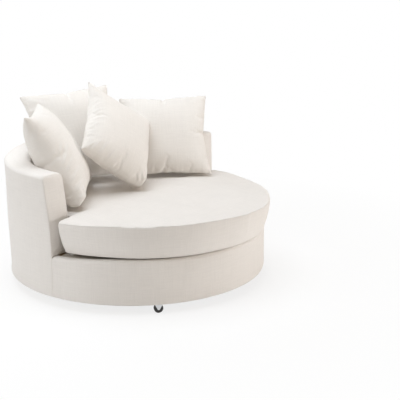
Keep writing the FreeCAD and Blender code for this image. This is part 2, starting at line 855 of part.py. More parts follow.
def screw_offset(corner):
    """A screw's place in its caster's own frame: outwards, then along the rim."""
    outwards, along = corner
    return f"({outwards} * (LegOuter - ScrewInset))", f"({along} * ScrewSpread / 2)"


def screw_socket_local(label, corner):
    x, y = screw_offset(corner)
    return settle(cylinder(label, "ScrewRadius", "BracketSheet"), x, y, "BracketTop - BracketSheet")


def screw_places():
    """Every caster screw as a bearing and its corner."""
    return [(bearing, corner) for bearing in CASTERS.values() for corner in SCREW_CORNERS]


def put_screw(item, bearing, corner, z):
    out, along = screw_offset(corner)
    x = f"((CasterRadius + {out}) * sin({bearing}) + {along} * cos({bearing}))"
    y = f"(-(CasterRadius + {out}) * cos({bearing}) + {along} * sin({bearing}))"
    return settle(item, x, y, z)


def screw_socket(number, bearing, corner):
    socket = cylinder(f"ScrewSocket{number}", "ScrewRadius", "ScrewGrip")
    return put_screw(socket, bearing, corner, "BoardBottom")


def caster_screws():
    pieces = []
    for number, (bearing, corner) in enumerate(screw_places()):
        screw = fastener(f"CasterScrew{number}", "ScrewRadius", "ScrewGrip + BracketSheet", "ScrewHeadRadius",
                         "ScrewHeadHeight", True)
        pieces.append(put_screw(screw, bearing, corner, "BracketTop - BracketSheet"))
    return group("caster_screws", pieces)


def axle_piece(name, bearing):
    """A pin through both legs, with a head outside each."""
    length = "2 * (LegOuter + AxleHeadDepth)"
    pin = cylinder(f"Pin_{name}", "AxleRadius", length)
    heads = [cylinder(f"PinHead_{side}_{name}", "AxleHeadRadius", "AxleHeadDepth")
             for side in ("outer", "inner")]
    for item, start in ((pin, "-(LegOuter + AxleHeadDepth)"), (heads[0], "LegOuter"),
                        (heads[1], "-(LegOuter + AxleHeadDepth)")):
        item.Placement.Rotation = FreeCAD.Rotation(Vector(0, 1, 0), 90)
        bind(item, Placement__Base__x=start, Placement__Base__z="WheelRadius")
    return at_bearing(fused(f"Axle_{name}", [pin] + heads), "CasterRadius", f"({bearing})", "0")


def wheel_part(label, bearing, corners):
    """Revolve a wheel's outline about its axle and stand it at its caster."""
    body = new_body(label)
    sketch = new_sketch(body, "XZ_Plane", label + "Profile")
    outline(sketch, corners)
    turn = body.newObject("PartDesign::Revolution", label + "Turn")
    turn.Profile = sketch
    turn.ReferenceAxis = (sketch, ["H_Axis"])
    body.Tip = turn
    return at_bearing(body, "CasterRadius", f"({bearing})", "WheelRadius")


def caster_tyre(name, bearing):
    inner = "WheelRadius - TyreDepth"
    return wheel_part(f"caster_tyre_{name}", bearing, [
        ("-WheelWidth / 2", inner), ("WheelWidth / 2", inner),
        ("WheelWidth / 2", "WheelRadius - WheelCrown"), ("WheelWidth / 2 - WheelCrown", "WheelRadius"),
        ("-WheelWidth / 2 + WheelCrown", "WheelRadius"), ("-WheelWidth / 2", "WheelRadius - WheelCrown"),
    ])


def caster_hub(name, bearing):
    bore = "AxleRadius + AxleClearance"
    felloe = "WheelRadius - TyreDepth - HubInset"
    return wheel_part(f"caster_hub_{name}", bearing, [
        ("-WheelWidth / 2", bore), ("WheelWidth / 2", bore),
        ("WheelWidth / 2", "HubBossRadius"), ("HubWebHalf", "HubBossRadius"), ("HubWebHalf", felloe),
        ("WheelWidth / 2", felloe), ("WheelWidth / 2", "WheelRadius - TyreDepth"),
        ("-WheelWidth / 2", "WheelRadius - TyreDepth"), ("-WheelWidth / 2", felloe),
        ("-HubWebHalf", felloe), ("-HubWebHalf", "HubBossRadius"), ("-WheelWidth / 2", "HubBossRadius"),
    ])


# Seat cushion: one loose round cushion whose front corners pass before the arm ends.

CUSHION_SIDE_SHARES = [
    # height as a share of the side, then inset as a share of the ear's corner radius
    (0.0, 0.62), (0.03, 0.36), (0.09, 0.15), (0.2, 0.03), (0.5, -0.05), (0.76, 0.02), (0.9, 0.16),
    (0.97, 0.36), (1.0, 0.6),
]
CUSHION_CROWN_SHARES = [(0.3, 0.86), (0.66, 0.62), (0.9, 0.34), (1.0, 0.1)]


def cushion_outline(z, inset, scale=1.0):
    """The cushion's plan at a height, drawn in evenly by an inset and then scaled about its middle."""
    front, shift = size("CushionRadius") - inset, size("CushionShift")
    back, edge = size("CushionBack") - inset, size("ArmToeSetback") - size("EarGap") - inset
    corner, neck = size("EarCornerRadius") - inset, size("NeckRadius") + inset
    corner_x = math.sqrt((front - corner) ** 2 - (edge - corner + shift) ** 2)
    corner_y = edge - corner
    out = Vector(corner_x, corner_y + shift, 0).normalize()
    neck_x = math.sqrt((back + neck) ** 2 - (edge + neck) ** 2)
    towards = Vector(neck_x, edge + neck, 0).normalize()
    diagonal = math.radians(45)

    def spot(x, y):
        return Vector(x * scale, (y + shift * 0.5) * scale - shift * 0.5, z)

    nose = spot(0, -shift - front)
    tail = spot(0, back)
    half_front = math.atan2(out.x, -out.y) / 2
    shoulder_start, shoulder_end = spot(out.x * front, out.y * front - shift), spot(corner_x, edge)
    lean = (math.atan2(out.y, out.x) + math.pi / 2) / 2
    shoulder = spot(corner_x + corner * math.cos(lean), corner_y + corner * math.sin(lean))
    neck_start = spot(neck_x, edge)
    neck_end = spot(towards.x * back, towards.y * back)
    sweep = (math.atan2(-towards.y, -towards.x) + 2 * math.pi + 1.5 * math.pi) / 2
    hollow = spot(neck_x + neck * math.cos(sweep), edge + neck + neck * math.sin(sweep))
    flank_angle = (math.atan2(towards.y, towards.x) + math.pi / 2) / 2
    flank = spot(back * math.cos(flank_angle), back * math.sin(flank_angle))
    cheek = spot(front * math.sin(half_front), -front * math.cos(half_front) - shift)
    right = [(nose, cheek, shoulder_start), (shoulder_start, shoulder, shoulder_end),
             (shoulder_end, None, neck_start), (neck_start, hollow, neck_end), (neck_end, flank, tail)]
    mirror = FreeCAD.Matrix()
    mirror.scale(-1, 1, 1)
    left = [(mirror.multVec(end), middle and mirror.multVec(middle), mirror.multVec(start))
            for start, middle, end in reversed(right)]
    edges = [Part.Arc(start, middle, end).toShape() if middle else Part.makeLine(start, end)
             for start, middle, end in right + left]
    return Part.Wire(edges)


def seat_cushion():
    """Crowned top, bulging border and turned edges, lofted through level outlines."""
    bottom, ridge, crown = size("CushionBottom"), size("CushionRidge"), size("CushionCrown")
    corner = size("EarCornerRadius")
    levels = [cushion_outline(bottom + (ridge - bottom) * height, corner * inset)
              for height, inset in CUSHION_SIDE_SHARES]
    last = corner * CUSHION_SIDE_SHARES[-1][1]
    levels += [cushion_outline(ridge + crown * height, last, scale) for height, scale in CUSHION_CROWN_SHARES]
    item = doc.addObject("Part::Feature", "seat_cushion")
    item.Shape = Part.makeLoft(levels, True, True)
    return named(item, "seat_cushion")


# Loose pillows: square cases, full in the middle, thin at the seams, sides drawn in.

PILLOW_STATION_SHARES = [-1.0, -0.9, -0.66, -0.3, 0.0, 0.3, 0.66, 0.9, 1.0]
DRAW_IN_SHARE = 0.09
CROWN_POWER_SHARE = 0.6


def pillow(label, side, fill, height_share, place_shares, turns):
    """Loft through lens-shaped sections across the width, closed by ruled strips at the side seams."""
    width, depth, edge = size(side), size(fill) / 2, size("PillowEdge") / 2
    height = width * height_share
    wires = []
    for share in PILLOW_STATION_SHARES:
        half = height / 2 * (1 - DRAW_IN_SHARE * (1 - share ** 2))
        corner_x = width / 2 * share
        middle_x = corner_x * (1 - DRAW_IN_SHARE)
        bulge = edge + (depth - edge) * (1 - share ** 2) ** CROWN_POWER_SHARE
        corners = [Vector(corner_x, y, z)
                   for y, z in ((edge, -half), (-edge, -half), (-edge, half), (edge, half))]
        front = Part.Arc(corners[1], Vector(middle_x, -bulge, 0), corners[2]).toShape()
        back = Part.Arc(corners[3], Vector(middle_x, bulge, 0), corners[0]).toShape()
        wires.append(Part.Wire([Part.makeLine(corners[0], corners[1]), front,
                                Part.makeLine(corners[2], corners[3]), back]))
    faces = Part.makeLoft(wires, False, False).Faces
    for wire in (wires[0], wires[-1]):
        faces.append(Part.makeRuledSurface(wire.Edges[1], wire.Edges[3]))
    shell = Part.makeShell(faces)
    shell.sewShape()
    solid = Part.makeSolid(Part.makeShell(shell.Faces))
    if solid.Volume < 0:
        solid.reverse()
    item = doc.addObject("Part::Feature", label)
    item.Shape = solid
    turn, lean, roll = turns
    rotation = (FreeCAD.Rotation(UP, turn) * FreeCAD.Rotation(Vector(1, 0, 0), lean)
                * FreeCAD.Rotation(Vector(0, 1, 0), roll))
    across, back, above = place_shares
    reach = size("DrumRadius")
    centre = Vector(reach * across, reach * back, size("CushionTop") + width * above)
    item.Placement = FreeCAD.Placement(centre, rotation)
    return named(item, label)


def all_pieces():
    pieces = [
        floor_pads(), floor_plate(), race("lower_race", "lower"), swivel_balls(), ball_cage(),
        race_rivets("lower_race_rivets", "FootTop + RaceFlange", False, "RaceFlange + FootSheet"),
        race("upper_race", "upper"), swivel_plate(), plate_bolts(),
        race_rivets("upper_race_rivets", "PlateBottom - RaceFlange", True, "RaceFlange + PlateThickness"),
        bottom_board(), dust_cover(), drum_posts(), deck_ring(),
        webbing("webbing_across", "DeckHeight", False),
        webbing("webbing_along", "DeckHeight + StrapThickness", True),
        deck_cover(), front_border(), border_lip(), outer_cover(), back_panel(), inner_panel(), top_rail(),
        wall_posts(), arm_end_boards(), inner_back_pad(), rim_pad(),
        arm_pad("arm_pad_left", -1), arm_pad("arm_pad_right", 1),
        group("caster_brackets", [caster_bracket(*place) for place in CASTERS.items()]),
        group("caster_axles", [axle_piece(*place) for place in CASTERS.items()]),
        caster_screws(), seat_cushion(),
    ]
    pieces += [caster_tyre(*place) for place in CASTERS.items()]
    pieces += [caster_hub(*place) for place in CASTERS.items()]
    pieces += [pillow(label, *values) for label, values in PILLOW_PLACE_SHARES.items()]
    return pieces


pieces = all_pieces()
doc.recompute()
for item in doc.Objects:
    if "Invalid" in item.State or "Error" in item.State:
        raise RuntimeError(f"{item.Label} failed: {item.State}")
for item in pieces:
    if item.Shape.isNull() or not item.Shape.isValid():
        raise RuntimeError(f"{item.Label} has no valid shape")
    item.Shape.exportStep(f"parts/{item.Label}.step")
    box = item.Shape.BoundBox
    print(f"{item.Label}: {len(item.Shape.Solids)} solid(s), {item.Shape.Volume / 1000:.1f} cm3, "
          f"z {box.ZMin:.1f} to {box.ZMax:.1f}")
print(len(pieces), "pieces")
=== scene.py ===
# %% [markdown]
# A round swivel chair, deep enough to curl up in: a padded barrel wall on a low drum, one loose round
# cushion whose front corners pass before the arms, and four loose square pillows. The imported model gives
# every place and size. This file dresses it: cloth surfaces worked out with numpy on grids, pillows
# blown up by a cloth simulation as a real filled case is, and a woven finish that follows each panel.

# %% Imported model
import math
import bmesh
import bpy
import numpy as np
from mathutils import Matrix, Vector


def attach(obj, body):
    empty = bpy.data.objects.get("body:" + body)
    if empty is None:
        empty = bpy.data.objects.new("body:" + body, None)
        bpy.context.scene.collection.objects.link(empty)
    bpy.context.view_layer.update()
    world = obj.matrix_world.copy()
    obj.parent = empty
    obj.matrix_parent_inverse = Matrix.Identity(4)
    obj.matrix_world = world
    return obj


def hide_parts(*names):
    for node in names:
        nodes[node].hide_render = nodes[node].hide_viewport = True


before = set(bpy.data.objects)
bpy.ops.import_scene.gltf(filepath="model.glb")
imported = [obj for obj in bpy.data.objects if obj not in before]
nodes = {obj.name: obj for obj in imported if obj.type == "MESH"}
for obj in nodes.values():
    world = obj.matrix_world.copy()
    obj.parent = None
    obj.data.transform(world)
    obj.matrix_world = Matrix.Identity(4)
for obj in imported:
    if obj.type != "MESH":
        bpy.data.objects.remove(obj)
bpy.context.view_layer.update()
print("packed nodes:", len(nodes))

# %% [markdown]
# Sizes that the cloth shares with the timber and foam under it, in metres. The chair faces -Y and turns
# about Z. Bearings are measured from the front, positive towards +X.

# %% Sizes
DRUM_RADIUS = 0.645
RIM_RADIUS = 0.655
HEM_HEIGHT = 0.045
DECK_HEIGHT = 0.232
BORDER_TOP = 0.240
RIM_HEIGHT = 0.620
SEAT_WALL_RADIUS = 0.508
RIM_INNER_RADIUS = 0.520
LINING_RADIUS = 0.633
DRUM_SEAM = math.radians(88.9)
FRONT_RISE = 0.018

# %% [markdown]
# A few small helpers serve every panel. A grid of points becomes a mesh with faces between neighbouring
# rows and columns, and with a UV map in metres, so that a weave can be laid on it at its true scale.
# A ripple is a sum of a few dozen plane waves with fixed, seeded directions: it gives the unevenness
# of stuffed cloth, the same on each run.

# %% Grid and ripple helpers
def add_mesh(name, vertices, faces, uv_of_vertex):
    """A mesh piece from points and quads; each face corner's UV is its vertex's own."""
    mesh = bpy.data.meshes.new(name)
    mesh.from_pydata(vertices.tolist(), [], faces.tolist())
    layer = mesh.uv_layers.new(name="Weave")
    corners = np.zeros(len(mesh.loops), np.int32)
    mesh.loops.foreach_get("vertex_index", corners)
    layer.data.foreach_set("uv", uv_of_vertex[corners].astype(np.float32).ravel())
    mesh.polygons.foreach_set("use_smooth", np.ones(len(mesh.polygons), bool))
    mesh.update()
    piece = bpy.data.objects.new(name, mesh)
    bpy.context.scene.collection.objects.link(piece)
    return piece


def grid_faces(rows, columns, ring=False):
    """Quads between neighbouring rows and columns; with ring, the last column joins the first."""
    index = np.arange(rows * columns).reshape(rows, columns)
    if ring:
        index = np.concatenate([index, index[:, :1]], axis=1)
    return np.stack([index[:-1, :-1], index[:-1, 1:], index[1:, 1:], index[1:, :-1]], -1).reshape(-1, 4)


def grid_piece(name, points, uv, ring=False, flip=False):
    """One panel: points and uv are arrays of rows by columns."""
    rows, columns = points.shape[:2]
    faces = grid_faces(rows, columns, ring)
    if flip:
        faces = faces[:, ::-1]
    return add_mesh(name, points.reshape(-1, 3), faces, uv.reshape(-1, 2))


def ripple(seed, u, v, wavelength, stretch=1.0):
    """Sum of 28 plane waves of about one wavelength, scaled to a spread of about one."""
    rng = np.random.default_rng(seed)
    total = np.zeros(np.broadcast(u, v).shape)
    for _ in range(28):
        angle, phase = rng.uniform(0, 2 * np.pi, 2)
        pitch = wavelength * rng.uniform(0.7, 1.5)
        total += np.sin(2 * np.pi / pitch * (np.cos(angle) * u + np.sin(angle) * v / stretch) + phase)
    return total / math.sqrt(14)


def smooth_step(x):
    """0 below 0, 1 above 1, and a smooth rise between."""
    x = np.clip(x, 0, 1)
    return x * x * (3 - 2 * x)


def front_share(bearing):
    """1 across the front and 0 at the arms: how much of the front's rise a place has."""
    return smooth_step((math.radians(88) - np.abs(bearing)) / math.radians(32))


def closed(piece, weld=None):
    """Close a grid piece by merging points nearer than weld or, without it, by filling its open rims."""
    work = bmesh.new()
    work.from_mesh(piece.data)
    if weld:
        bmesh.ops.remove_doubles(work, verts=work.verts, dist=weld)
    else:
        bmesh.ops.holes_fill(work, edges=[edge for edge in work.edges if edge.is_boundary], sides=0)
    bmesh.ops.recalc_face_normals(work, faces=work.faces)
    work.to_mesh(piece.data)
    work.free()
    return piece


# %% [markdown]
# The barrel and the border are padded bands bent round the chair. Each is drawn as a closed section, a line
# of radius and height made of straight runs and rounded edges, and carried round from bearing to bearing.

# %% Sections carried round
def run(start, end, count):
    """Evenly spread values of a run, without its end."""
    return np.linspace(start, end, count, endpoint=False)


def straight(start, end, count):
    """A straight run from one (radius, height) to another, without its end."""
    share = run(0, 1, count)
    return tuple(first + (last - first) * share for first, last in zip(start, end))


def rounded(radius, height, size, start, count):
    """A quarter turn about a centre in the section, from an angle in radians, without its end."""
    angle = run(start, start + math.pi / 2, count)
    return radius + size * np.cos(angle), height + size * np.sin(angle)


def section(parts, rows):
    """Radius and height of all parts one after another, for each row of the grid."""
    ones = np.ones((rows, 1))
    return [np.concatenate([part[axis] * ones for part in parts], 1) for axis in (0, 1)]


def section_length(radius, height):
    """Distance along each row's section: the running sum of sqrt(dr^2 + dz^2)."""
    steps = np.hypot(np.diff(radius, axis=1), np.diff(height, axis=1))
    return np.concatenate([np.zeros((len(radius), 1)), np.cumsum(steps, 1)], 1)


def around(radius, bearing, height):
    """Points (r sin b, -r cos b, z)."""
    return np.stack(np.broadcast_arrays(radius * np.sin(bearing), -radius * np.cos(bearing), height), -1)


def mirrored(near):
    """Values from one end to the middle, and the same back again."""
    return np.concatenate([near, near[-2::-1]])


def draw_in(distance, depth):
    """1 at an end, falling to 0 at the given depth along a quarter circle."""
    share = np.clip(1 - distance / depth, 0, 1)
    return 1 - np.sqrt(1 - share ** 2)


# %% [markdown]
# The cloth is a plain weave of slubby cream yarn. Each thread is about a millimetre wide, too fine to
# count from a step away but plain in a close view, so two crossed sets of threads drive the bump.
# Thick and thin places run along single threads for a few centimetres and tint the colour a little,
# wider and longer streaks come from changes of yarn, and a slow mottling stands for handling. The pattern
# reads the panel's own UV map, laid out in metres.

# %% Woven cloth
def link(tree, start, start_socket, end, end_socket):
    """Join one node's output to another's input."""
    tree.links.new(start.outputs[start_socket], end.inputs[end_socket])


def tune(made, **values):
    """Set a shader node's inputs or settings by name, with _ for each space."""
    for key, value in values.items():
        name = key.replace("_", " ")
        if name in made.inputs:
            made.inputs[name].default_value = value
        else:
            setattr(made, key, value)
    return made


def node(tree, kind, **values):
    """A new shader node with its values."""
    return tune(tree.nodes.new("ShaderNode" + kind), **values)


def maths(tree, operation, first, second=None):
    """A Math node on one or two sockets or numbers; returns its output socket."""
    made = node(tree, "Math", operation=operation)
    for place, value in enumerate((first, second)):
        if value is None:
            continue
        if isinstance(value, (int, float)):
            made.inputs[place].default_value = value
        else:
            tree.links.new(value, made.inputs[place])
    return made.outputs[0]


def times(tree, first, second):
    """The product of two sockets or numbers."""
    return maths(tree, "MULTIPLY", first, second)


def plus(tree, first, second):
    """The sum of two sockets or numbers."""
    return maths(tree, "ADD", first, second)


def new_material(name):
    """A material with its node tree and its surface shader."""
    material = bpy.data.materials.new(name)
    material.use_nodes = True
    return material, material.node_tree, material.node_tree.nodes["Principled BSDF"]


def stretched_noise(tree, coordinates, scale, detail, roughness):
    """Noise of about -0.3 to 0.3, with its own scale along each axis of the coordinates."""
    spread = node(tree, "Mapping", Scale=scale)
    link(tree, node(tree, "TexCoord"), coordinates, spread, "Vector")
    noise = node(tree, "TexNoise", Scale=1.0, Detail=detail, Roughness=roughness)
    link(tree, spread, "Vector", noise, "Vector")
    return maths(tree, "SUBTRACT", noise.outputs["Fac"], 0.5)


def thread_noise(tree, along, across, detail):
    """Noise drawn out along the warp plus noise drawn out along the weft."""
    return plus(tree, stretched_noise(tree, "UV", (along, across, 1), detail, 0.5),
                stretched_noise(tree, "UV", (across, along, 1), detail, 0.5))


def axis_value(tree, coordinates, axis):
    """One axis of the given coordinates."""
    split = node(tree, "SeparateXYZ")
    link(tree, node(tree, "TexCoord"), coordinates, split, "Vector")
    return split.outputs[axis]


def stripes(tree, coordinates, axis, pitch):
    """sin(2 pi x / pitch) of one coordinate x."""
    return maths(tree, "SINE", times(tree, axis_value(tree, coordinates, axis), 2 * math.pi / pitch))


def tint(tree, shader, colour, tone):
    """Multiply a colour by 1 + tone and give it to the shader."""
    shade = node(tree, "HueSaturation", Color=colour)
    tree.links.new(plus(tree, tone, 1.0), shade.inputs["Value"])
    link(tree, shade, "Color", shader, "Base Color")


def emboss(tree, shader, height, strength, distance):
    """Let a height drive the shader's bump."""
    raised = node(tree, "Bump", Strength=strength, Distance=distance)
    tree.links.new(height, raised.inputs["Height"])
    link(tree, raised, "Normal", shader, "Normal")


def woven_cloth(name, colour, thread=0.0011, slub=0.05, bump=0.35):
    """Plain weave: over-and-under threads from two sine waves, slubs along both, and soft mottling."""
    material, tree, shader = new_material(name)
    tune(shader, Roughness=0.92, Sheen_Weight=0.25, Sheen_Roughness=0.6, Specular_IOR_Level=0.15)
    threads = plus(tree, stripes(tree, "UV", "X", thread), stripes(tree, "UV", "Y", thread))
    cross = times(tree, stripes(tree, "UV", "X", 2 * thread), stripes(tree, "UV", "Y", 2 * thread))
    weave = plus(tree, times(tree, cross, 0.6), times(tree, threads, 0.25))
    slub_sum = thread_noise(tree, 14.0, 420.0, 2.0)
    streaks = times(tree, thread_noise(tree, 4.0, 130.0, 1.0), 0.045)
    mottle = node(tree, "TexNoise", Scale=7.0, Detail=4.0, Roughness=0.6)
    link(tree, node(tree, "TexCoord"), "Object", mottle, "Vector")
    mottling = times(tree, maths(tree, "SUBTRACT", mottle.outputs["Fac"], 0.5), 0.05)
    tone = plus(tree, plus(tree, times(tree, slub_sum, slub * 2), mottling), streaks)
    tint(tree, shader, (*colour, 1), plus(tree, tone, times(tree, weave, 0.035)))
    emboss(tree, shader, plus(tree, weave, times(tree, slub_sum, 2.0)), bump, 0.0006)
    return material


CREAM = (0.84, 0.80, 0.76)
chair_cloth = woven_cloth("chair_cloth", CREAM)
seat_cloth = woven_cloth("seat_cloth", CREAM)
pillow_cloth = woven_cloth("pillow_cloth", (0.845, 0.805, 0.76), bump=0.3)

# %% [markdown]
# The camera stands where the photograph's stood: it was fitted to the ellipses of the drum and the rim.
# Large soft boxes above, left and behind give the light. Their powers are set so that the drum, the cushion
# and the pillows come out about as bright as in the photograph. The low one fills the drum's shade.

# %% Camera, floor and light
CAMERA_PLACE = Vector((-3.7289, -3.0513, 1.6753))
CAMERA_WAY = Vector((0.78565, 0.56044, -0.26205))
camera = bpy.data.objects.new("Camera", bpy.data.cameras.new("Camera"))
bpy.context.scene.collection.objects.link(camera)
camera.location = CAMERA_PLACE
camera.rotation_euler = CAMERA_WAY.to_track_quat("-Z", "Y").to_euler()
camera.data.sensor_width = 36.0
camera.data.lens = 88.2
bpy.context.scene.camera = camera
bpy.context.scene.view_settings.view_transform = "Standard"


def seen_directly(tree):
    """1 for rays that show a surface straight, mirrored or through glass, and 0 for the rest."""
    rays = node(tree, "LightPath")
    seen = maths(tree, "MAXIMUM", rays.outputs["Is Camera Ray"], rays.outputs["Is Glossy Ray"])
    return maths(tree, "MAXIMUM", seen, rays.outputs["Is Transmission Ray"])


def add_floor():
    """A wide pale sheet: white far off, and near the chair pale enough to keep its shadow."""
    corners = np.array([[-14, -14, 0], [14, -14, 0], [14, 14, 0], [-14, 14, 0]], float)
    floor = add_mesh("Floor", corners, np.array([[0, 1, 2, 3]]), corners[:, :2])
    material, tree, shader = new_material("pale_floor")
    tune(shader, Base_Color=(0.94, 0.935, 0.93, 1), Roughness=0.8)
    glow = node(tree, "Emission", Color=(1, 1, 1, 1), Strength=1.0)
    place = node(tree, "TexCoord")
    reach = node(tree, "VectorMath", operation="LENGTH")
    link(tree, place, "Object", reach, "Vector")
    fade = node(tree, "MapRange", From_Min=0.8, From_Max=2.2, To_Min=0.80, To_Max=1.0)
    tree.links.new(reach.outputs["Value"], fade.inputs["Value"])
    mix = node(tree, "MixShader")
    tree.links.new(times(tree, seen_directly(tree), fade.outputs["Result"]), mix.inputs["Fac"])
    tree.links.new(shader.outputs["BSDF"], mix.inputs[1])
    tree.links.new(glow.outputs["Emission"], mix.inputs[2])
    tree.links.new(mix.outputs["Shader"], tree.nodes["Material Output"].inputs["Surface"])
    floor.data.materials.append(material)


def add_lamp(name, place, width, power, colour):
    """A square soft box that looks at the middle of the seat."""
    lamp = bpy.data.objects.new(name, bpy.data.lights.new(name, "AREA"))
    lamp.data.size = width
    lamp.data.energy = power
    lamp.data.color = colour
    lamp.location = place
    lamp.rotation_euler = (Vector((0, 0, 0.35)) - Vector(place)).to_track_quat("-Z", "Y").to_euler()
    bpy.context.scene.collection.objects.link(lamp)


def add_world(colour, strength):
    """White where it is seen; elsewhere a faint warm light, as from the walls of a room."""
    world = bpy.data.worlds.new("Studio")
    world.use_nodes = True
    tree = world.node_tree
    room = tree.nodes["Background"]
    tune(room, Color=(*colour, 1), Strength=strength)
    white = node(tree, "Background", Color=(1, 1, 1, 1), Strength=1.0)
    mix = node(tree, "MixShader")
    tree.links.new(seen_directly(tree), mix.inputs["Fac"])
    tree.links.new(room.outputs["Background"], mix.inputs[1])
    tree.links.new(white.outputs["Background"], mix.inputs[2])
    tree.links.new(mix.outputs["Shader"], tree.nodes["World Output"].inputs["Surface"])
    bpy.context.scene.world = world


add_floor()
COOL = (0.87, 0.933, 1.0)
add_world((1.0, 0.815, 0.586), 0.232)
add_lamp("TopBox", (-0.4, 0.2, 4.2), 3.2, 134, COOL)
add_lamp("LeftBox", (-4.6, 2.0, 2.6), 2.6, 85, COOL)
add_lamp("BackBox", (1.0, 4.6, 3.0), 2.6, 50, COOL)
add_lamp("LowRightBox", (2.4, -4.6, 0.9), 1.8, 107, (1.0, 0.982, 0.977))

# %% [markdown]
# The barrel's cover is one tube of cloth: up the outside from the hem, over the soft rim, down the
# inside to the deck and back. Its two ends stop at the raked arm fronts, where the tube is drawn in.
# The right arm leans back less than the left, as measured.

# %% Barrel cover
ARM_TOE = -0.0125
ARM_RAKES = {-1: 0.0265, 1: 0.0080}
RAKE_START = 0.350
RAKE_POWER = 1.2
ARM_DRAW_DEPTH = 0.013
ARM_DRAW = 0.007
ARM_FOOT_DRAW = 0.35 * ARM_DRAW
ARM_INNER_DRAW = 0.026
OUTER_ROUND = 0.018
INNER_ROUND = 0.040
HEM_ROUND = 0.006
RIM_CROWN = 0.002
WALL_FOOT = BORDER_TOP + 0.001


def arm_front(z, side):
    """Where one arm's front lies (its y) at each height: upright at its foot and leaning back above."""
    share = np.clip((z - RAKE_START) / (RIM_HEIGHT - RAKE_START), 0, 1)
    return ARM_TOE + ARM_RAKES[side] * share ** RAKE_POWER


def wall_section(pull):
    """Radius and height along the closed section, for each amount of pull (0 to 1) at the arm ends."""
    pull = pull[:, None]
    outer_foot = DRUM_RADIUS - ARM_FOOT_DRAW * pull
    outer_top = RIM_RADIUS - ARM_DRAW * pull
    top = RIM_HEIGHT - ARM_DRAW * pull
    inner_top = RIM_INNER_RADIUS + ARM_INNER_DRAW * pull
    inner_foot = SEAT_WALL_RADIUS + ARM_DRAW * pull
    outer_seam, inner_seam = top - OUTER_ROUND, top - INNER_ROUND
    inner_edge = inner_top + INNER_ROUND
    across, level = straight((outer_top - OUTER_ROUND, top), (inner_edge, top), 8)
    return section([
        rounded(outer_foot - HEM_ROUND, HEM_HEIGHT + HEM_ROUND, HEM_ROUND, -math.pi / 2, 4),
        straight((outer_foot, HEM_HEIGHT + HEM_ROUND), (outer_foot, DECK_HEIGHT), 14),
        straight((outer_foot, DECK_HEIGHT), (outer_top, outer_seam), 22),
        rounded(outer_top - OUTER_ROUND, outer_seam, OUTER_ROUND, 0, 9),
        (across, level + RIM_CROWN * np.sin(np.pi * run(0, 1, 8))),
        rounded(inner_edge, inner_seam, INNER_ROUND, math.pi / 2, 9),
        straight((inner_top, inner_seam), (inner_foot, WALL_FOOT), 22),
        straight((inner_foot, WALL_FOOT), (LINING_RADIUS, WALL_FOOT), 4),
        straight((LINING_RADIUS, WALL_FOOT), (LINING_RADIUS, HEM_HEIGHT + 0.002), 4),
    ], len(pull))


def barrel_cover():
    """Section carried from one raked arm front round the back to the other."""
    share = np.concatenate([[0, 0.0008, 0.002, 0.0038, 0.006, 0.009, 0.0125], np.linspace(0.017, 1.0, 74)])
    distance = mirrored(share * DRUM_RADIUS * math.radians(92))
    radius, height = wall_section(draw_in(distance, ARM_DRAW_DEPTH))
    half = len(share)
    right = np.arccos(-arm_front(height[:half], 1) / radius[:half])
    left = np.arccos(-arm_front(height[half:], -1) / radius[half:])
    bearing = np.concatenate([right + (math.pi - right) * share[:, None],
                              2 * math.pi - (left + (math.pi - left) * share[-2::-1][:, None])])
    along = bearing * DRUM_RADIUS
    across = section_length(radius, height)
    swell = 0.0016 * ripple(11, along, across, 0.34) * smooth_step(distance[:, None] / 0.12)
    outside = (height > HEM_HEIGHT + 0.012) & (across < 0.62)
    radius = radius + np.where(outside, swell, 0.6 * swell * (height > BORDER_TOP + 0.004))
    points = around(radius, bearing, height)
    return closed(grid_piece("barrel_cover", points, np.stack([along, across], -1), ring=True))


def dress(piece, body, slot, material, fill, *replaced):
    """Give a padded piece its cloth, its body and the CAD nodes that it stands for."""
    piece.data.materials.clear()
    piece.data.materials.append(material)
    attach(piece, body)
    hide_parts(*replaced)
    print(piece.name, "has", len(piece.data.vertices), "vertices")


dress(barrel_cover(), "frame", "chair_cloth", chair_cloth, 0.8, "outer_cover", "inner_back_pad", "rim_pad")

# %% [markdown]
# Each arm front is a flat panel sewn into the end of the tube, pulled over foam so that it is hardly crowned.
# Its grid runs across the arm and up it: the two edges follow the tube's end, round its two top corners too,
# and the cloth turns in to the seam over the last few millimetres. At its foot, where arm, drum and cushion
# meet, the cloth is tucked down and makes small folds.

# %% Arm fronts
PANEL_TURN = 0.006
PANEL_SEAM = 0.0012
PANEL_CROWN = 0.003


def arm_outline(z):
    """Outer and inner radius of the tube's drawn-in end at each height, its two top corners rounded."""
    top = RIM_HEIGHT - ARM_DRAW
    outer_seam, inner_seam = top - OUTER_ROUND, top - INNER_ROUND
    outer = np.interp(z, [DECK_HEIGHT, outer_seam], [DRUM_RADIUS - ARM_FOOT_DRAW, RIM_RADIUS - ARM_DRAW])
    inner = np.interp(z, [BORDER_TOP, inner_seam],
                      [SEAT_WALL_RADIUS + ARM_DRAW, RIM_INNER_RADIUS + ARM_INNER_DRAW])
    outer_rise = np.clip(z - outer_seam, 0, OUTER_ROUND)
    inner_rise = np.clip(z - inner_seam, 0, INNER_ROUND)
    return (outer - OUTER_ROUND + np.sqrt(OUTER_ROUND ** 2 - outer_rise ** 2),
            inner + INNER_ROUND - np.sqrt(INNER_ROUND ** 2 - inner_rise ** 2))


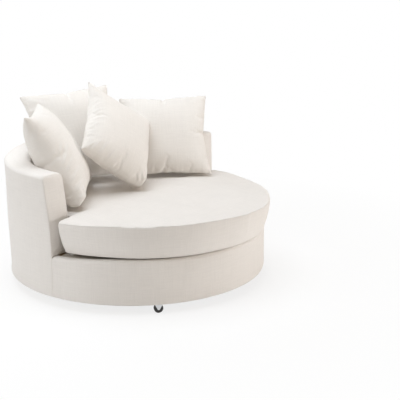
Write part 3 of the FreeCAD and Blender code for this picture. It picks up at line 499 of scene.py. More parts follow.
def arm_front_panel(name, side):
    """Radius runs from edge to edge at each height; at its edges the face turns in by a quarter circle."""
    top, foot = RIM_HEIGHT - ARM_DRAW, BORDER_TOP + 0.0006
    low = np.linspace(0.007, top - INNER_ROUND - foot, 44)
    low = np.concatenate([[0, 0.001, 0.0025, 0.0045], low]) + foot
    arch = top - INNER_ROUND + INNER_ROUND * np.sin(np.linspace(0, math.pi / 2, 22))[1:]
    z = np.concatenate([low, arch])[:, None]
    share = (1 - np.cos(np.linspace(0, math.pi, 49))) / 2
    outer, inner = arm_outline(z)
    width = outer - inner
    r = outer - width * share
    to_edge = np.minimum(np.minimum(width * share, width * (1 - share)), np.minimum(top - z, z - foot))
    turn = np.sqrt(1 - (1 - np.clip(to_edge / PANEL_TURN, 0, 1)) ** 2)
    corner = np.hypot(width * (1 - share), z - foot)
    folds = 0.0011 * ripple(31, corner, 0.4 * (z - foot), 0.012) * np.exp(-corner / 0.028) * turn
    slow = 0.0006 * ripple(37 + side, r, z, 0.12) * turn
    proud = PANEL_SEAM * (turn - 1) + PANEL_CROWN * 4 * share * (1 - share) * turn + folds + slow
    front = arm_front(z, side)
    x = side * np.sqrt(r ** 2 - front ** 2)
    points = np.stack([x, front - proud, z + 0 * r], -1)
    piece = grid_piece(name, points, np.stack([x, z + 0 * r], -1), flip=side > 0)
    thick = piece.modifiers.new("Thickness", "SOLIDIFY")
    thick.thickness = 0.004
    thick.offset = -1
    return piece


dress(arm_front_panel("arm_front_left", -1), "frame", "chair_cloth", chair_cloth, 0.8, "arm_pad_left")
dress(arm_front_panel("arm_front_right", 1), "frame", "chair_cloth", chair_cloth, 0.8, "arm_pad_right")

# %% [markdown]
# The border is the padded band round the front of the drum. It turns in over the deck as a lip that
# the cushion rests on, a little higher across the front than at the arms, and meets the barrel's cover at
# an upright seam under each arm front.

# %% Front border
BORDER_ROUND = 0.015
BORDER_DRAW = 0.0035
BORDER_DRAW_DEPTH = 0.006
LIP_RADIUS = 0.598
LIP_FOOT = DECK_HEIGHT + 0.002


def front_border():
    """The band's closed section carried round the front between the two drum seams."""
    share = np.concatenate([[0, 0.0006, 0.0015, 0.003, 0.005], np.linspace(0.008, 1.0, 60)])
    outer = DRUM_RADIUS - BORDER_DRAW * mirrored(draw_in(share, BORDER_DRAW_DEPTH))[:, None]
    angle = DRUM_SEAM * (share - 1)
    radius, height = section([
        rounded(outer - HEM_ROUND, HEM_HEIGHT + HEM_ROUND, HEM_ROUND, -math.pi / 2, 4),
        straight((outer, HEM_HEIGHT + HEM_ROUND), (outer, BORDER_TOP - BORDER_ROUND), 22),
        rounded(outer - BORDER_ROUND, BORDER_TOP - BORDER_ROUND, BORDER_ROUND, 0, 7),
        straight((outer - BORDER_ROUND, BORDER_TOP), (LIP_RADIUS, BORDER_TOP), 5),
        straight((LIP_RADIUS, LIP_FOOT), (LINING_RADIUS, LIP_FOOT), 5),
        straight((LINING_RADIUS, LIP_FOOT), (LINING_RADIUS, HEM_HEIGHT + 0.001), 5),
    ], len(outer))
    bearing = np.concatenate([angle, -angle[-2::-1]])[:, None] + 0 * radius
    lifted = np.concatenate([np.zeros(4), run(0, 1, 22) ** 2, np.ones(12), np.zeros(10)])
    height = height + FRONT_RISE * lifted * front_share(bearing)
    along, length = bearing * DRUM_RADIUS, section_length(radius, height)
    outside = (length < 0.185) & (height > HEM_HEIGHT + 0.012)
    ease = smooth_step((DRUM_SEAM - np.abs(bearing)) * DRUM_RADIUS / 0.08)
    radius = radius + np.where(outside, 0.0013 * ripple(23, along, height, 0.3) * ease, 0)
    points = around(radius, bearing, height)
    return closed(grid_piece("front_border_cover", points, np.stack([along, length], -1), ring=True))


dress(front_border(), "frame", "chair_cloth", chair_cloth, 0.8, "front_border", "border_lip")

# %% [markdown]
# The seat cushion is a crowned top panel and a flat bottom panel joined by a side band, with a plain
# seam at each edge. Its plan is a wide circle at the front, a smaller one inside the barrel, rounded
# ears and hollow necks between. The plan is a closed line; the profile says how far each level is
# drawn in from it and how high it lies: the side leans in towards its foot. Close to the seams the cloth
# puckers a little. The ears have less filling under them, so they stand off the deck and tuck in below.
# Across the front the cushion is fuller and rises with the border, and its undercut foot leaves a thin
# dark line between the two.

# %% Seat cushion
CUSHION_FRONT = 0.628
CUSHION_SHIFT = 0.055
CUSHION_BACK = 0.503
EAR_EDGE = -0.030
EAR_ROUND = 0.031
NECK_ROUND = 0.026
CUSHION_BOTTOM = 0.2403
EAR_TUCK = 0.005
EAR_LIFT = 0.011
NEAR_FULLNESS = 0.033
FAR_FULLNESS = 0.008
CUSHION_CROWN = 0.428
BOTTOM_SCALES = (0.0, 0.3, 0.6, 0.85)
CROWN_SCALES = (0.985, 0.96, 0.93, 0.89, 0.84, 0.78, 0.71, 0.63, 0.54, 0.44, 0.33, 0.22, 0.11, 0.0)
LOW_SEAM, HIGH_SEAM = 5, 16
CUSHION_SIDE = np.array([
    (0.0660, 0.2403), (0.0560, 0.2412), (0.0470, 0.2428), (0.0390, 0.2450), (0.0320, 0.2476), (0.0262, 0.2504),
    (0.0262, 0.2545), (0.0245, 0.2615), (0.0205, 0.2710), (0.0150, 0.2880), (0.0098, 0.3100), (0.0058, 0.3300),
    (0.0028, 0.3500), (0.0010, 0.3680), (0.0006, 0.3790), (0.0015, 0.3860), (0.0042, 0.3905), (0.0030, 0.3930),
    (0.0045, 0.3960), (0.0085, 0.4000), (0.0140, 0.4035), (0.0210, 0.4065)])


def arc(centre, radius, start, end, count):
    """Points of an arc in plan, without its end."""
    angle = run(start, end, count)
    return np.stack([centre[0] + radius * np.cos(angle), centre[1] + radius * np.sin(angle)], -1)


def cushion_plan(inset):
    """The outline drawn in evenly by an inset: points anticlockwise from the middle of the front.

    An inset above EAR_ROUND turns the ear's arc over and the outline crosses itself there. The cushion's
    bottom and the five lowest levels of its side do so, under the ears.
    """
    front, back, edge = CUSHION_FRONT - inset, CUSHION_BACK - inset, EAR_EDGE - inset
    ear, neck = EAR_ROUND - inset, NECK_ROUND + inset
    ear_y = edge - ear
    ear_x = math.sqrt((front - ear) ** 2 - (ear_y + CUSHION_SHIFT) ** 2)
    neck_y = edge + neck
    neck_x = math.sqrt((back + neck) ** 2 - neck_y ** 2)
    ear_turn = math.atan2(ear_y + CUSHION_SHIFT, ear_x)
    neck_turn = math.atan2(neck_y, neck_x)
    sweep = arc((0, -CUSHION_SHIFT), front, -math.pi / 2, ear_turn, 110)
    shoulder = arc((ear_x, ear_y), ear, ear_turn, math.pi / 2, 26)
    across = np.linspace((ear_x, edge), (neck_x, edge), 8, endpoint=False)
    hollow = arc((neck_x, neck_y), neck, 1.5 * math.pi, math.pi + neck_turn, 16)
    flank = arc((0, 0), back, neck_turn, math.pi / 2, 80)
    right = np.concatenate([sweep, shoulder, across, hollow, flank])
    top = np.array([[0.0, back]])
    left = right[:0:-1] * np.array([-1, 1])
    return np.concatenate([right, top, left])


def shrunk(inset, scale):
    """The outline at an inset, shrunk towards the middle of the cushion."""
    return cushion_plan(inset) * scale + np.array([0, -CUSHION_SHIFT / 2 * (1 - scale)])


def bump_at(points, x, y, size_x, size_y):
    """e^(-((|x| - x0) / a)^2 - ((y - y0) / b)^2): 1 at one place on each side, fading round it."""
    return np.exp(-((np.abs(points[..., 0]) - x) / size_x) ** 2 - ((points[..., 1] - y) / size_y) ** 2)


def cushion_body():
    """Side levels from insets, then the crown as shrinking copies of the last level up to the middle."""
    inset, side_height = CUSHION_SIDE.T
    loops = [shrunk(inset[0], scale) for scale in BOTTOM_SCALES]
    loops += [cushion_plan(value) for value in inset]
    loops += [shrunk(inset[-1], scale) for scale in CROWN_SCALES]
    crown = CUSHION_CROWN - side_height[-1]
    heights = np.concatenate([np.full(len(BOTTOM_SCALES), CUSHION_BOTTOM), side_height,
                              side_height[-1] + crown * (1 - np.array(CROWN_SCALES) ** 2.4)])
    plan = np.stack(loops)
    points = np.concatenate([plan, np.broadcast_to(heights[:, None, None], (*plan.shape[:2], 1))], -1)
    along = np.concatenate([[0], np.cumsum(np.hypot(*np.diff(cushion_plan(0.0), axis=0).T))])
    first = len(BOTTOM_SCALES)
    level = np.arange(len(loops))[:, None]
    low, high = heights[first + LOW_SEAM], heights[first + HIGH_SEAM]
    on_side = (level > first) & (level < first + len(CUSHION_SIDE))
    outward = plan - np.array([0, -CUSHION_SHIFT / 2])
    outward = outward / np.maximum(np.linalg.norm(outward, axis=-1, keepdims=True), 1e-6)
    pucker = (0.0007 * ripple(41, along, 0, 0.045) * np.exp(-np.abs(heights - high)[:, None] / 0.014)
              + 0.0009 * ripple(43, along, 0, 0.05) * np.exp(-np.abs(heights - low)[:, None] / 0.016))
    slow = 0.0016 * ripple(47, along, points[..., 2], 0.34)
    points[..., :2] += outward * ((pucker + slow) * on_side)[..., None]
    top = level > first + HIGH_SEAM
    near_edge = np.clip((points[..., 2] - high) / crown, 0, 1)
    lumps = (0.0012 * ripple(53, points[..., 0], points[..., 1], 0.30)
             + 0.0004 * ripple(59, points[..., 0], points[..., 1], 0.10))
    points[..., 2] += np.where(top, lumps * smooth_step(near_edge * 1.5), 0)
    share = np.clip((points[..., 2] - CUSHION_BOTTOM) / (high - CUSHION_BOTTOM), 0, 1)
    tuck = EAR_TUCK * bump_at(points, 0.60, -0.07, 0.09, 0.11) * (1 - share)
    points[..., 0] -= np.sign(points[..., 0]) * tuck
    points[..., 2] += EAR_LIFT * bump_at(points, 0.62, -0.05, 0.20, 0.20)
    bearing = np.arctan2(plan[..., 0], -plan[..., 1])
    outer_part = smooth_step((np.hypot(plan[..., 0], plan[..., 1]) - 0.36) / 0.22)
    near = smooth_step((math.radians(35) - bearing) / math.radians(60))
    full = FAR_FULLNESS + (NEAR_FULLNESS - FAR_FULLNESS) * near
    rise = FRONT_RISE + 0.001 + (full - FRONT_RISE - 0.001) * share
    points[..., 2] += front_share(bearing) * np.where(top, full * (1 - near_edge) ** 1.2, rise * outer_part)
    band = np.stack([np.broadcast_to(along, plan.shape[:2]), points[..., 2]], -1)
    uv = np.where(on_side[..., None], band, points[..., :2])
    return closed(grid_piece("seat_cushion_cover", points, uv, ring=True), weld=1e-5)


dress(cushion_body(), "seat", "seat_cloth", seat_cloth, 0.7, "seat_cushion")

# %% [markdown]
# A pillow is two square sheets sewn together at their edges and stuffed until they hold a known amount of
# filling. The cloth can't stretch, so the seams bow inwards, the corners stay pointed and small folds run
# in from the seams. A cloth simulation finds that shape: the rest lengths are those of the flat sheets, the
# start is a plain lens, and the inner pressure pushes until the case holds the lens's volume, or 0.165 of
# the cube of its side, which is near the most that two such squares can hold.

# %% Pillow cases
CASE_CELLS = 56
CUT_EXCESS = 1.06
SEAM_BOW = 0.045
FULL_CASE = 0.165
CLOTH_FRAMES = 24
CLOTH = dict(quality=5, mass=0.3, tension_stiffness=15, compression_stiffness=15, shear_stiffness=5,
             bending_stiffness=0.3, air_damping=5, use_pressure=True, uniform_pressure_force=0,
             use_pressure_volume=True, pressure_factor=14, vertex_group_shrink="Seam", shrink_max=0.02)


def case_grid(width, height, thickness):
    """Two square grids that share their rim: flat places (x, z, side), the lens start and the faces.

    The lens's half thickness is T/2 * ((1 - u^2)(1 - v^2))^0.5, with u and v from -1 to 1.
    """
    count = CASE_CELLS + 1
    u, v = np.meshgrid(np.linspace(-1, 1, count), np.linspace(-1, 1, count), indexing="ij")
    u, v = u.ravel(), v.ravel()
    inner = (np.abs(u) < 1) & (np.abs(v) < 1)
    index = np.arange(count * count)
    back_index = index.copy()
    back_index[inner] = count * count + np.arange(inner.sum())
    front_faces = grid_faces(count, count)
    faces = np.concatenate([front_faces, back_index[front_faces][:, ::-1]])
    u, v = np.concatenate([u, u[inner]]), np.concatenate([v, v[inner]])
    side = np.concatenate([np.where(inner, -1.0, 0.0), np.ones(inner.sum())])
    bulge = thickness / 2 * np.sqrt((1 - u ** 2) * (1 - v ** 2))
    start = np.stack([u * width / 2 * (1 - SEAM_BOW * (1 - v ** 2)), side * bulge,
                      v * height / 2 * (1 - SEAM_BOW * (1 - u ** 2))], -1)
    flat = np.stack([u * width / 2, v * height / 2, side], -1)
    return flat, start, faces


def enclosed_volume(points, faces):
    """Sum of the signed tetrahedra between the origin and each half of each quad."""
    a, b, c, d = (points[faces[:, corner]] for corner in range(4))
    return abs(np.einsum("ij,ij->", a, np.cross(b, c)) + np.einsum("ij,ij->", a, np.cross(c, d))) / 6


def stuff(piece, flat, volume, seed):
    """Cloth simulation from the lens to a stuffed case; returns the places of the vertices."""
    unrest = 0.0008 * ripple(seed, flat[:, 0] + flat[:, 2], flat[:, 1], 0.07)
    sheets = np.stack([flat[:, 0] * CUT_EXCESS, unrest + 0.0002 * flat[:, 2], flat[:, 1] * CUT_EXCESS], -1)
    piece.shape_key_add(name="Lens")
    cut = piece.shape_key_add(name="Sheets")
    cut.data.foreach_set("co", sheets.ravel())
    seam = piece.vertex_groups.new(name="Seam")
    seam.add([int(number) for number in np.flatnonzero(flat[:, 2] == 0)], 1.0, "REPLACE")
    cloth = piece.modifiers.new("Cloth", "CLOTH")
    for key, value in CLOTH.items():
        setattr(cloth.settings, key, value)
    cloth.settings.target_volume = volume
    cloth.settings.rest_shape_key = cut
    cloth.settings.effector_weights.gravity = 0
    scene = bpy.context.scene
    for number in range(1, CLOTH_FRAMES + 1):
        scene.frame_set(number)
    shape = piece.evaluated_get(bpy.context.evaluated_depsgraph_get()).to_mesh()
    places = np.zeros(len(flat) * 3)
    shape.vertices.foreach_get("co", places)
    piece.modifiers.remove(cloth)
    piece.shape_key_clear()
    piece.vertex_groups.clear()
    scene.frame_set(1)
    return places.reshape(-1, 3)


def refine(piece):
    """One subdivision made permanent; returns the finer piece, its places and its flat places."""
    name = piece.name
    soft = piece.modifiers.new("Finer", "SUBSURF")
    soft.levels = soft.render_levels = 1
    mesh = bpy.data.meshes.new_from_object(piece.evaluated_get(bpy.context.evaluated_depsgraph_get()))
    bpy.data.objects.remove(piece)
    finer = bpy.data.objects.new(name, mesh)
    bpy.context.scene.collection.objects.link(finer)
    places, flat = np.zeros(len(mesh.vertices) * 3), np.zeros(len(mesh.vertices) * 3)
    mesh.vertices.foreach_get("co", places)
    mesh.attributes["Flat"].data.foreach_get("vector", flat)
    return finer, places.reshape(-1, 3), flat.reshape(-1, 3)


# %% [markdown]
# Folds that are narrower than the simulation's cells come after it, on the finer mesh. Short gathers run in
# from the seams, and a few creases lie where each pillow is squeezed. The cases' faces are wound inward, so
# a negative depth stands out from the cloth: a crease is a narrow raised fold along a line with a shallow dip
# beside it. A corner that carries the pillow is pushed blunt and thick, and the filling sinks to the foot.

# %% Folds and corners
FRONT, BACK = -1, 1
GATHER_DEPTH = 0.0016
GATHER_FADE = 0.028


def crease_depth(flat, x0, z0, x1, z1, bow, width, depth, face=FRONT):
    """Fold along a bowed line from (x0, z0) to (x1, z1): -depth * e^(-d^2/w^2), fading at both ends.

    The depth is counted along the inward normal, so the fold stands out and the strip beside it dips.
    """
    length = math.hypot(x1 - x0, z1 - z0)
    along = ((flat[:, 0] - x0) * (x1 - x0) + (flat[:, 1] - z0) * (z1 - z0)) / length ** 2
    away = ((flat[:, 1] - z0) * (x1 - x0) - (flat[:, 0] - x0) * (z1 - z0)) / length
    away = away - bow * 4 * along * (1 - along)
    fade = smooth_step(along * 4) * smooth_step((1 - along) * 2.2) * (flat[:, 2] * face > 0)
    fold = np.exp(-(away / width) ** 2)
    dip = np.exp(-((away - 1.9 * width) / (1.3 * width)) ** 2)
    return fade * depth * (0.7 * dip - fold)


def blunt_corner(places, flat, corner, width, height, push):
    """Push one corner's tip back along its diagonal, and swell it sideways and in thickness."""
    tip = np.array([corner[0] * width / 2, corner[1] * height / 2])
    inward = -np.array([corner[0], 0, corner[1]]) / math.sqrt(2)
    across = np.array([-corner[1], 0, corner[0]]) / math.sqrt(2)
    reach = np.hypot(flat[:, 0] - tip[0], flat[:, 1] - tip[1])
    near = np.exp(-(reach / 0.055) ** 2)[:, None]
    sideways = ((places @ across) / 0.03)[:, None]
    places = places + push * near * inward + 0.55 * push * near * np.tanh(sideways) * across
    places[:, 1] *= 1 + 1.1 * near[:, 0]
    return places


def settle_filling(places, flat, width, height, up, slump, wide, high, sag, front=1.0, sway=0.0, low=0.0):
    """Filling sinks: thickness times 1 - slump * t, with t from -1 at the foot to 1 at the top.

    The seams between the corners bow by wide - sag * t across and high - sag * t along, the lower one by low
    more. The front half is thinner by its own factor, and the foot sways along the case by sway * t^2.
    """
    t = (places[:, 0] * up[0] + places[:, 2] * up[1]) / (abs(up[0]) * width / 2 + abs(up[1]) * height / 2)
    u, v = 2 * flat[:, 0] / width, 2 * flat[:, 1] / height
    half = np.where(places[:, 1] < 0, front, 1.0)
    bow_x, bow_z = wide - sag * t, high - sag * t + np.where(v < 0, low, 0.0)
    scale = np.stack([1 + bow_x * (1 - v ** 2) * np.abs(u), half * (1 - slump * t),
                      1 + bow_z * (1 - u ** 2) * np.abs(v)], -1)
    return places * scale + sway * np.clip(-t, 0, 1)[:, None] ** 2 * np.array([up[1], 0, -up[0]])


def seam_gathers(flat, width, height, seed):
    """Short folds square to each seam, deepest near the seam and gone 70 mm in."""
    patch = 0.55 + 0.45 * ripple(seed + 5, flat[:, 0] + flat[:, 2], flat[:, 1], 0.2)
    folds = 0
    for number, along, inward in ((1, flat[:, 1], width / 2 - np.abs(flat[:, 0])),
                                  (2, flat[:, 0], height / 2 - np.abs(flat[:, 1]))):
        fade = np.exp(-inward / GATHER_FADE) * smooth_step(inward / 0.01)
        folds = folds + ripple(seed + number, along + flat[:, 2], 0, 0.026) * fade
    return GATHER_DEPTH * patch * folds


# %% [markdown]
# Each pillow's size, place and turns are those of its CAD solid. The creases are read off the photograph. In
# a case's own plane, x across and z up, the pillow over the arm is folded near its corner at -x, -z, and the
# small one along its sides at -x and -z and near its corner at x, -z.

# %% Four pillows
PILLOWS = {
    "pillow_arm_cover": dict(
        node="pillow_over_arm", body="arm_pillow", width=0.490, height=0.490, thickness=0.231, seed=5,
        centre=(-0.3307, 0.2257, 0.6451), turns=(38.7, -29.5, 2.2),
        fall=dict(slump=0.10, wide=0.02, high=0.02, sag=0.03, front=0.88),
        blunt=[((-1, -1), 0.0), ((1, -1), 0.006)],
        creases=[
            (-0.236, -0.02, -0.14, 0.06, 0.010, 0.0062, 0.0024),
            (-0.236, -0.055, -0.10, 0.03, 0.014, 0.0070, 0.0030),
            (-0.236, -0.09, -0.12, -0.03, 0.010, 0.0060, 0.0026),
            (-0.236, -0.13, -0.10, -0.09, 0.010, 0.0068, 0.0024),
            (-0.236, -0.07, -0.15, -0.02, -0.008, 0.0062, 0.0018, BACK),
            (-0.236, -0.18, -0.15, -0.15, 0.008, 0.0058, 0.0026),
            (-0.215, -0.236, -0.17, -0.16, 0.006, 0.0055, 0.0028),
            (-0.17, -0.236, -0.13, -0.17, 0.006, 0.0055, 0.0026),
            (-0.12, -0.236, -0.10, -0.16, 0.006, 0.0060, 0.0022)]),
    "pillow_back_cover": dict(
        node="pillow_back_centre", body="back_pillow", width=0.490, height=0.5047, thickness=0.145, seed=7,
        centre=(-0.0114, 0.3952, 0.6609), turns=(-28.9, -30.0, -3.9),
        fall=dict(slump=0.10, wide=0.03, high=0.13, sag=-0.02), blunt=[],
        creases=[
            (-0.22, 0.21, -0.10, 0.14, 0.008, 0.0083, 0.0019),
            (-0.235, 0.16, -0.13, 0.11, 0.008, 0.0075, 0.0017),
            (-0.235, 0.10, -0.16, 0.07, 0.006, 0.0065, 0.0013),
            (0.21, 0.22, 0.11, 0.13, -0.008, 0.0083, 0.0013)]),
    "pillow_small_cover": dict(
        node="pillow_front_small", body="small_pillow", width=0.438, height=0.438, thickness=0.190, seed=9,
        centre=(0.0055, 0.1295, 0.6933), turns=(3.8, -31.9, 41.3),
        fall=dict(slump=0.28, wide=0.0, high=0.0, sag=0.04, sway=-0.034, low=0.19),
        blunt=[((1, -1), 0.013)],
        creases=[
            (-0.212, 0.075, -0.145, 0.115, 0.005, 0.0045, 0.0013),
            (-0.212, 0.045, -0.13, 0.095, 0.006, 0.0050, 0.0016),
            (-0.212, 0.015, -0.11, 0.06, 0.006, 0.0055, 0.0017),
            (-0.212, -0.012, -0.14, 0.03, 0.005, 0.0045, 0.0014),
            (-0.212, -0.04, -0.12, 0.0, 0.006, 0.0053, 0.0015),
            (-0.212, -0.075, -0.15, -0.045, 0.005, 0.0045, 0.0015),
            (-0.175, -0.212, -0.13, -0.13, 0.006, 0.0055, 0.0022),
            (-0.13, -0.212, -0.09, -0.12, 0.006, 0.0060, 0.0021),
            (-0.075, -0.212, -0.04, -0.13, 0.006, 0.0053, 0.0018),
            (-0.01, -0.212, 0.02, -0.15, 0.005, 0.0050, 0.0015),
            (-0.20, -0.20, -0.13, -0.13, 0.005, 0.0053, 0.0020),
            (0.195, -0.212, 0.13, -0.15, 0.004, 0.0042, 0.0028),
            (0.165, -0.212, 0.11, -0.17, 0.003, 0.0040, 0.0024),
            (0.212, -0.17, 0.16, -0.12, -0.003, 0.0042, 0.0022)]),
    "pillow_side_cover": dict(
        node="pillow_back_side", body="side_pillow", width=0.482, height=0.4579, thickness=0.145, seed=13,
        centre=(0.3877, 0.1190, 0.6220), turns=(-49.7, -32.5, -1.4),
        fall=dict(slump=0.12, wide=0.065, high=0.12, sag=-0.03), blunt=[],
        creases=[
            (-0.22, 0.20, -0.13, 0.14, 0.006, 0.0075, 0.0013),
            (0.22, 0.20, 0.14, 0.14, -0.006, 0.0075, 0.0010),
            (-0.14, -0.22, -0.10, -0.13, 0.006, 0.0060, 0.0013),
            (-0.08, -0.22, -0.06, -0.15, 0.005, 0.0060, 0.0011)]),
}


def move_points(piece, places):
    """Put a piece's vertices at new places."""
    piece.data.vertices.foreach_set("co", places.ravel())
    piece.data.update()


def stuffed_pillow(name, facts):
    """Simulate one case, size it, add its folds and lay it where its CAD solid lies."""
    width, height, thickness, seed = facts["width"], facts["height"], facts["thickness"], facts["seed"]
    flat, start, faces = case_grid(width, height, thickness)
    piece = add_mesh(name, start, faces, flat[:, :2] + 1.0 + 0.7 * flat[:, 2:])
    kept = piece.data.attributes.new("Flat", "FLOAT_VECTOR", "POINT")
    kept.data.foreach_set("vector", flat.astype(np.float32).ravel())
    most = FULL_CASE * (CUT_EXCESS * math.sqrt(width * height)) ** 3
    volume = min(enclosed_volume(start, faces), most)
    print(name, "is stuffed with", round(volume * 1000, 1), "litres")
    places = stuff(piece, flat, volume, seed)
    count = CASE_CELLS + 1
    corner = np.abs(places[[0, count - 1, count * (count - 1), count * count - 1]]).mean(0)
    thickest = np.abs(places[:, 1]).max()
    fit = np.array([width / 2 / corner[0], thickness / 2 / thickest, height / 2 / corner[2]])
    move_points(piece, places * fit)
    piece, places, flat = refine(piece)
    turn, lean, roll = (math.radians(value) for value in facts["turns"])
    lay = np.array(Matrix.Translation(facts["centre"]) @ Matrix.Rotation(turn, 4, "Z")
                   @ Matrix.Rotation(lean, 4, "X") @ Matrix.Rotation(roll, 4, "Y"))
    up = lay[2, [0, 2]] / np.hypot(*lay[2, [0, 2]])
    places = settle_filling(places, flat, width, height, up, **facts["fall"])
    move_points(piece, places)
    normals = np.zeros(len(places) * 3)
    piece.data.vertices.foreach_get("normal", normals)
    depth = seam_gathers(flat, width, height, seed)
    for line in facts["creases"]:
        depth = depth + crease_depth(flat, *line)
    places = places + normals.reshape(-1, 3) * depth[:, None]
    for corner, push in facts["blunt"]:
        places = blunt_corner(places, flat, corner, width, height, push)
    move_points(piece, places @ lay[:3, :3].T + lay[:3, 3])
    dress(piece, facts["body"], "pillow_cloth", pillow_cloth, 0.6, facts["node"])


for case_name, case_facts in PILLOWS.items():
    stuffed_pillow(case_name, case_facts)

# %% [markdown]
# Lifted, the cushion shows the deck: a thin quilted cloth over the webbing, sewn in diamonds so that its
# wadding can't wander. The grid runs out from the middle to the deck's edge, which is wider in front of the
# arms, and back under itself. Stitching lines are grooves at a fixed distance along both diagonals.

# %% Quilted deck
DECK_TOP = 0.2394
DECK_UNDER = 0.2352
QUILT_PITCH = 0.062
QUILT_GROOVE = 0.009
DECK_INNER = 0.501
DECK_WIDER = 0.096


def groove_to_line(distance, pitch, width):
    """1 on lines a pitch apart and falling as e^(-(d/width)^2) to each side."""
    away = np.abs((distance / pitch + 0.5) % 1 - 0.5) * pitch
    return np.exp(-(away / width) ** 2)


def quilted_deck():
    """Radius = share of the outline at each bearing; height = top less the deeper of the two grooves."""
    bearing = run(-math.pi, math.pi, 420)
    edge = DECK_INNER + DECK_WIDER * smooth_step((DRUM_SEAM - np.abs(bearing)) / math.radians(1.6))
    out = np.linspace(0, 1, 118)[:, None]
    x, y = out * edge * np.sin(bearing), -out * edge * np.cos(bearing)
    pitch = QUILT_PITCH * math.sqrt(2)
    diagonals = np.maximum(groove_to_line(x + y, pitch, QUILT_GROOVE),
                           groove_to_line(x - y, pitch, QUILT_GROOVE))
    foot = DECK_UNDER + 0.0008
    z = foot + (DECK_TOP - foot - 0.0024 * diagonals) * smooth_step((1 - out) * edge / 0.012)
    under = around(np.linspace(1, 0, 6)[:, None] * edge, bearing, DECK_UNDER)
    points = np.concatenate([np.stack([x, y, z], -1), under])
    return closed(grid_piece("deck_quilt", points, points[..., :2], ring=True), weld=1e-6)


deck_cloth = woven_cloth("deck_cloth", (0.62, 0.56, 0.48), thread=0.0009, slub=0.04)
dress(quilted_deck(), "frame", "deck_cloth", deck_cloth, 0.3, "deck_cover")

# %% [markdown]
# Under the bottom board a black non-woven cloth keeps dust in. It is stapled round its two edges, and between
# staples the cloth hangs in shallow scallops. It is one flat ring cut from a sheet.

# %% Dust cover
DUST_INNER = 0.232
DUST_OUTER = 0.590
DUST_TOP = 0.0496
STAPLES = 40


def dust_ring():
    """Height = top less a sag between the edges, times a scallop wave of one dip for each staple space."""
    bearing = run(0, 2 * math.pi, STAPLES * 10)
    share = np.linspace(0, 1, 24)[:, None]
    radius = DUST_INNER + (DUST_OUTER - DUST_INNER) * share
    scallop = 0.5 - 0.5 * np.cos(STAPLES * bearing)
    edge = np.exp(-np.minimum(share, 1 - share) / 0.06)
    z = DUST_TOP - 0.0007 * np.sin(np.pi * share) - 0.0005 * scallop * edge
    points = around(radius, bearing, z)
    piece = grid_piece("dust_ring", points, points[..., :2], ring=True)
    thick = piece.modifiers.new("Thickness", "SOLIDIFY")
    thick.thickness = 0.0004
    thick.offset = 0
    return piece


# %% [markdown]
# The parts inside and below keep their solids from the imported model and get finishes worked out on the
# object's own metres. Noise stretched along one axis is grain or brushing; a sine of the height shows the
# plies on a board's cut edge; fine noise in the bump is powder coat, rubber or felted fibre.

# %% Finishes for timber, metal, rubber and plastic
def plain_finish(name, colour, roughness, metallic=0.0):
    """A new material whose shader has one colour, one roughness and one metallic share."""
    material, _, shader = new_material(name)
    tune(shader, Base_Color=(*colour, 1), Roughness=roughness, Metallic=metallic)
    return material


def speckle(tree, scale, detail=3.0):
    """Noise on the object's metres."""
    return stretched_noise(tree, "Object", scale, detail, 0.55)


def facing(tree, axis):
    """How squarely the surface faces along one object axis, 0 to 1."""
    return maths(tree, "ABSOLUTE", axis_value(tree, "Normal", axis))


def vary(material, tone, rough, height, bump, depth=0.0003):
    """Multiply the colour by 1 + tone, add to the roughness and raise a bump."""
    tree = material.node_tree
    shader = tree.nodes["Principled BSDF"]
    tint(tree, shader, tuple(shader.inputs["Base Color"].default_value), tone)
    if rough is not None:
        middle = shader.inputs["Roughness"].default_value
        tree.links.new(plus(tree, rough, middle), shader.inputs["Roughness"])
    emboss(tree, shader, height, bump, depth)
    return material


def speckled_finish(name, colour, roughness, metallic, grain, broad, tone, rough, bump):
    """Fine grain in bump and roughness and broad clouds in the colour: most moulded and coated surfaces."""
    material = plain_finish(name, colour, roughness, metallic)
    tree = material.node_tree
    fine, wide = speckle(tree, grain), speckle(tree, broad, 2.0)
    return vary(material, times(tree, wide, tone), times(tree, fine, rough), fine, bump)


def timber(name, colour, grain, tone, plies=None):
    """Streaks along the grain; with plies = (axis, pitch), dark and pale layers where the edge is cut."""
    material = plain_finish(name, colour, 0.7)
    tree = material.node_tree
    streak = speckle(tree, grain, 5.0)
    figure = times(tree, streak, tone)
    if plies:
        cut = maths(tree, "LESS_THAN", facing(tree, plies[0]), 0.5)
        layers = times(tree, stripes(tree, "Object", *plies), 0.22)
        figure = plus(tree, figure, times(tree, layers, cut))
    return vary(material, figure, times(tree, streak, 0.15), streak, 0.25)


def strap_webbing(name, length_axis, width_axis):
    """Dark elastic webbing: ribs across its length and a few coloured lines along it."""
    material = plain_finish(name, (0.18, 0.13, 0.10), 0.85)
    tree = material.node_tree
    ribs = stripes(tree, "Object", length_axis, 0.0024)
    lines = stripes(tree, "Object", width_axis, 0.0125)
    tone = plus(tree, times(tree, ribs, 0.12), times(tree, lines, 0.18))
    return vary(material, tone, None, ribs, 0.5, 0.0004)


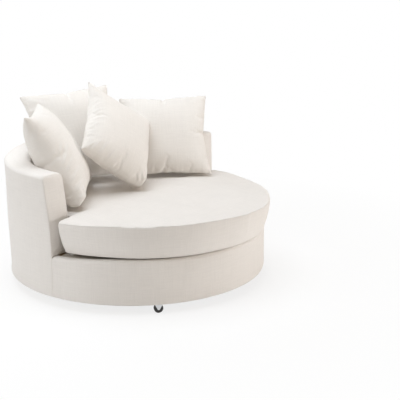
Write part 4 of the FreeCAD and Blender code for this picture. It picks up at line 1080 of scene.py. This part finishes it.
# colour, roughness, metallic share, scale of the grain and of the clouds, tone, roughness change, bump
COATED = {
    "pad_rubber": ((0.04,) * 3, 0.85, 0, (900,) * 3, (40,) * 3, 0.5, 0.2, 0.3),
    "black_steel": ((0.05,) * 3, 0.45, 0, (1100,) * 3, (12,) * 3, 0.3, 0.25, 0.2),
    "zinc_steel": ((0.62, 0.63, 0.64), 0.34, 1, (500,) * 3, (18,) * 3, 0.25, 0.3, 0.08),
    "ball_steel": ((0.80,) * 3, 0.10, 1, (1500,) * 3, (60,) * 3, 0.08, 0.1, 0.02),
    "tyre_rubber": ((0.05,) * 3, 0.75, 0, (800,) * 3, (90,) * 3, 0.5, 0.25, 0.25),
    "hub_plastic": ((0.07,) * 3, 0.50, 0, (1400,) * 3, (60,) * 3, 0.25, 0.15, 0.12),
    "dust_cloth": ((0.03,) * 3, 0.95, 0, (700, 700, 30), (60,) * 3, 0.9, 0.1, 0.5),
    "fibreboard": ((0.36, 0.25, 0.16), 0.65, 0, (400, 400, 260), (9,) * 3, 0.35, 0.2, 0.2),
}
coated = {name: speckled_finish(name, *facts) for name, facts in COATED.items()}
laid_ply = timber("laid_ply", (0.68, 0.52, 0.33), (5, 130, 130), 0.35, ("Z", 0.0045))
upright_ply = timber("upright_ply", (0.68, 0.52, 0.33), (130, 130, 5), 0.35, ("Y", 0.0045))
softwood = timber("softwood", (0.74, 0.58, 0.38), (85, 85, 3.5), 0.45)
webbing_x = strap_webbing("webbing_x", "X", "Y")
webbing_y = strap_webbing("webbing_y", "Y", "X")

ring = dust_ring()
ring.data.materials.append(coated["dust_cloth"])
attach(ring, "frame")
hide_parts("dust_cover")

FINISHES = {
    coated["pad_rubber"]: ["floor_pads"],
    coated["black_steel"]: ["floor_plate", "swivel_plate"],
    coated["zinc_steel"]: ["lower_race", "lower_race_rivets", "ball_cage", "upper_race", "upper_race_rivets",
                           "swivel_plate_bolts", "caster_brackets", "caster_axles", "caster_screws"],
    coated["ball_steel"]: ["swivel_balls"],
    laid_ply: ["bottom_board", "deck_ring", "top_rail"],
    upright_ply: ["arm_end_boards"],
    softwood: ["drum_posts", "wall_posts"],
    webbing_x: ["webbing_across"],
    webbing_y: ["webbing_along"],
    coated["fibreboard"]: ["back_panel", "inner_panel"],
    coated["tyre_rubber"]: [name for name in nodes if name.startswith("caster_tyre")],
    coated["hub_plastic"]: [name for name in nodes if name.startswith("caster_hub")],
}
for finish, kept_nodes in FINISHES.items():
    for kept in kept_nodes:
        for place in nodes[kept].material_slots:
            place.material = finish
print("nodes with a finish:", sum(len(kept_nodes) for kept_nodes in FINISHES.values()))
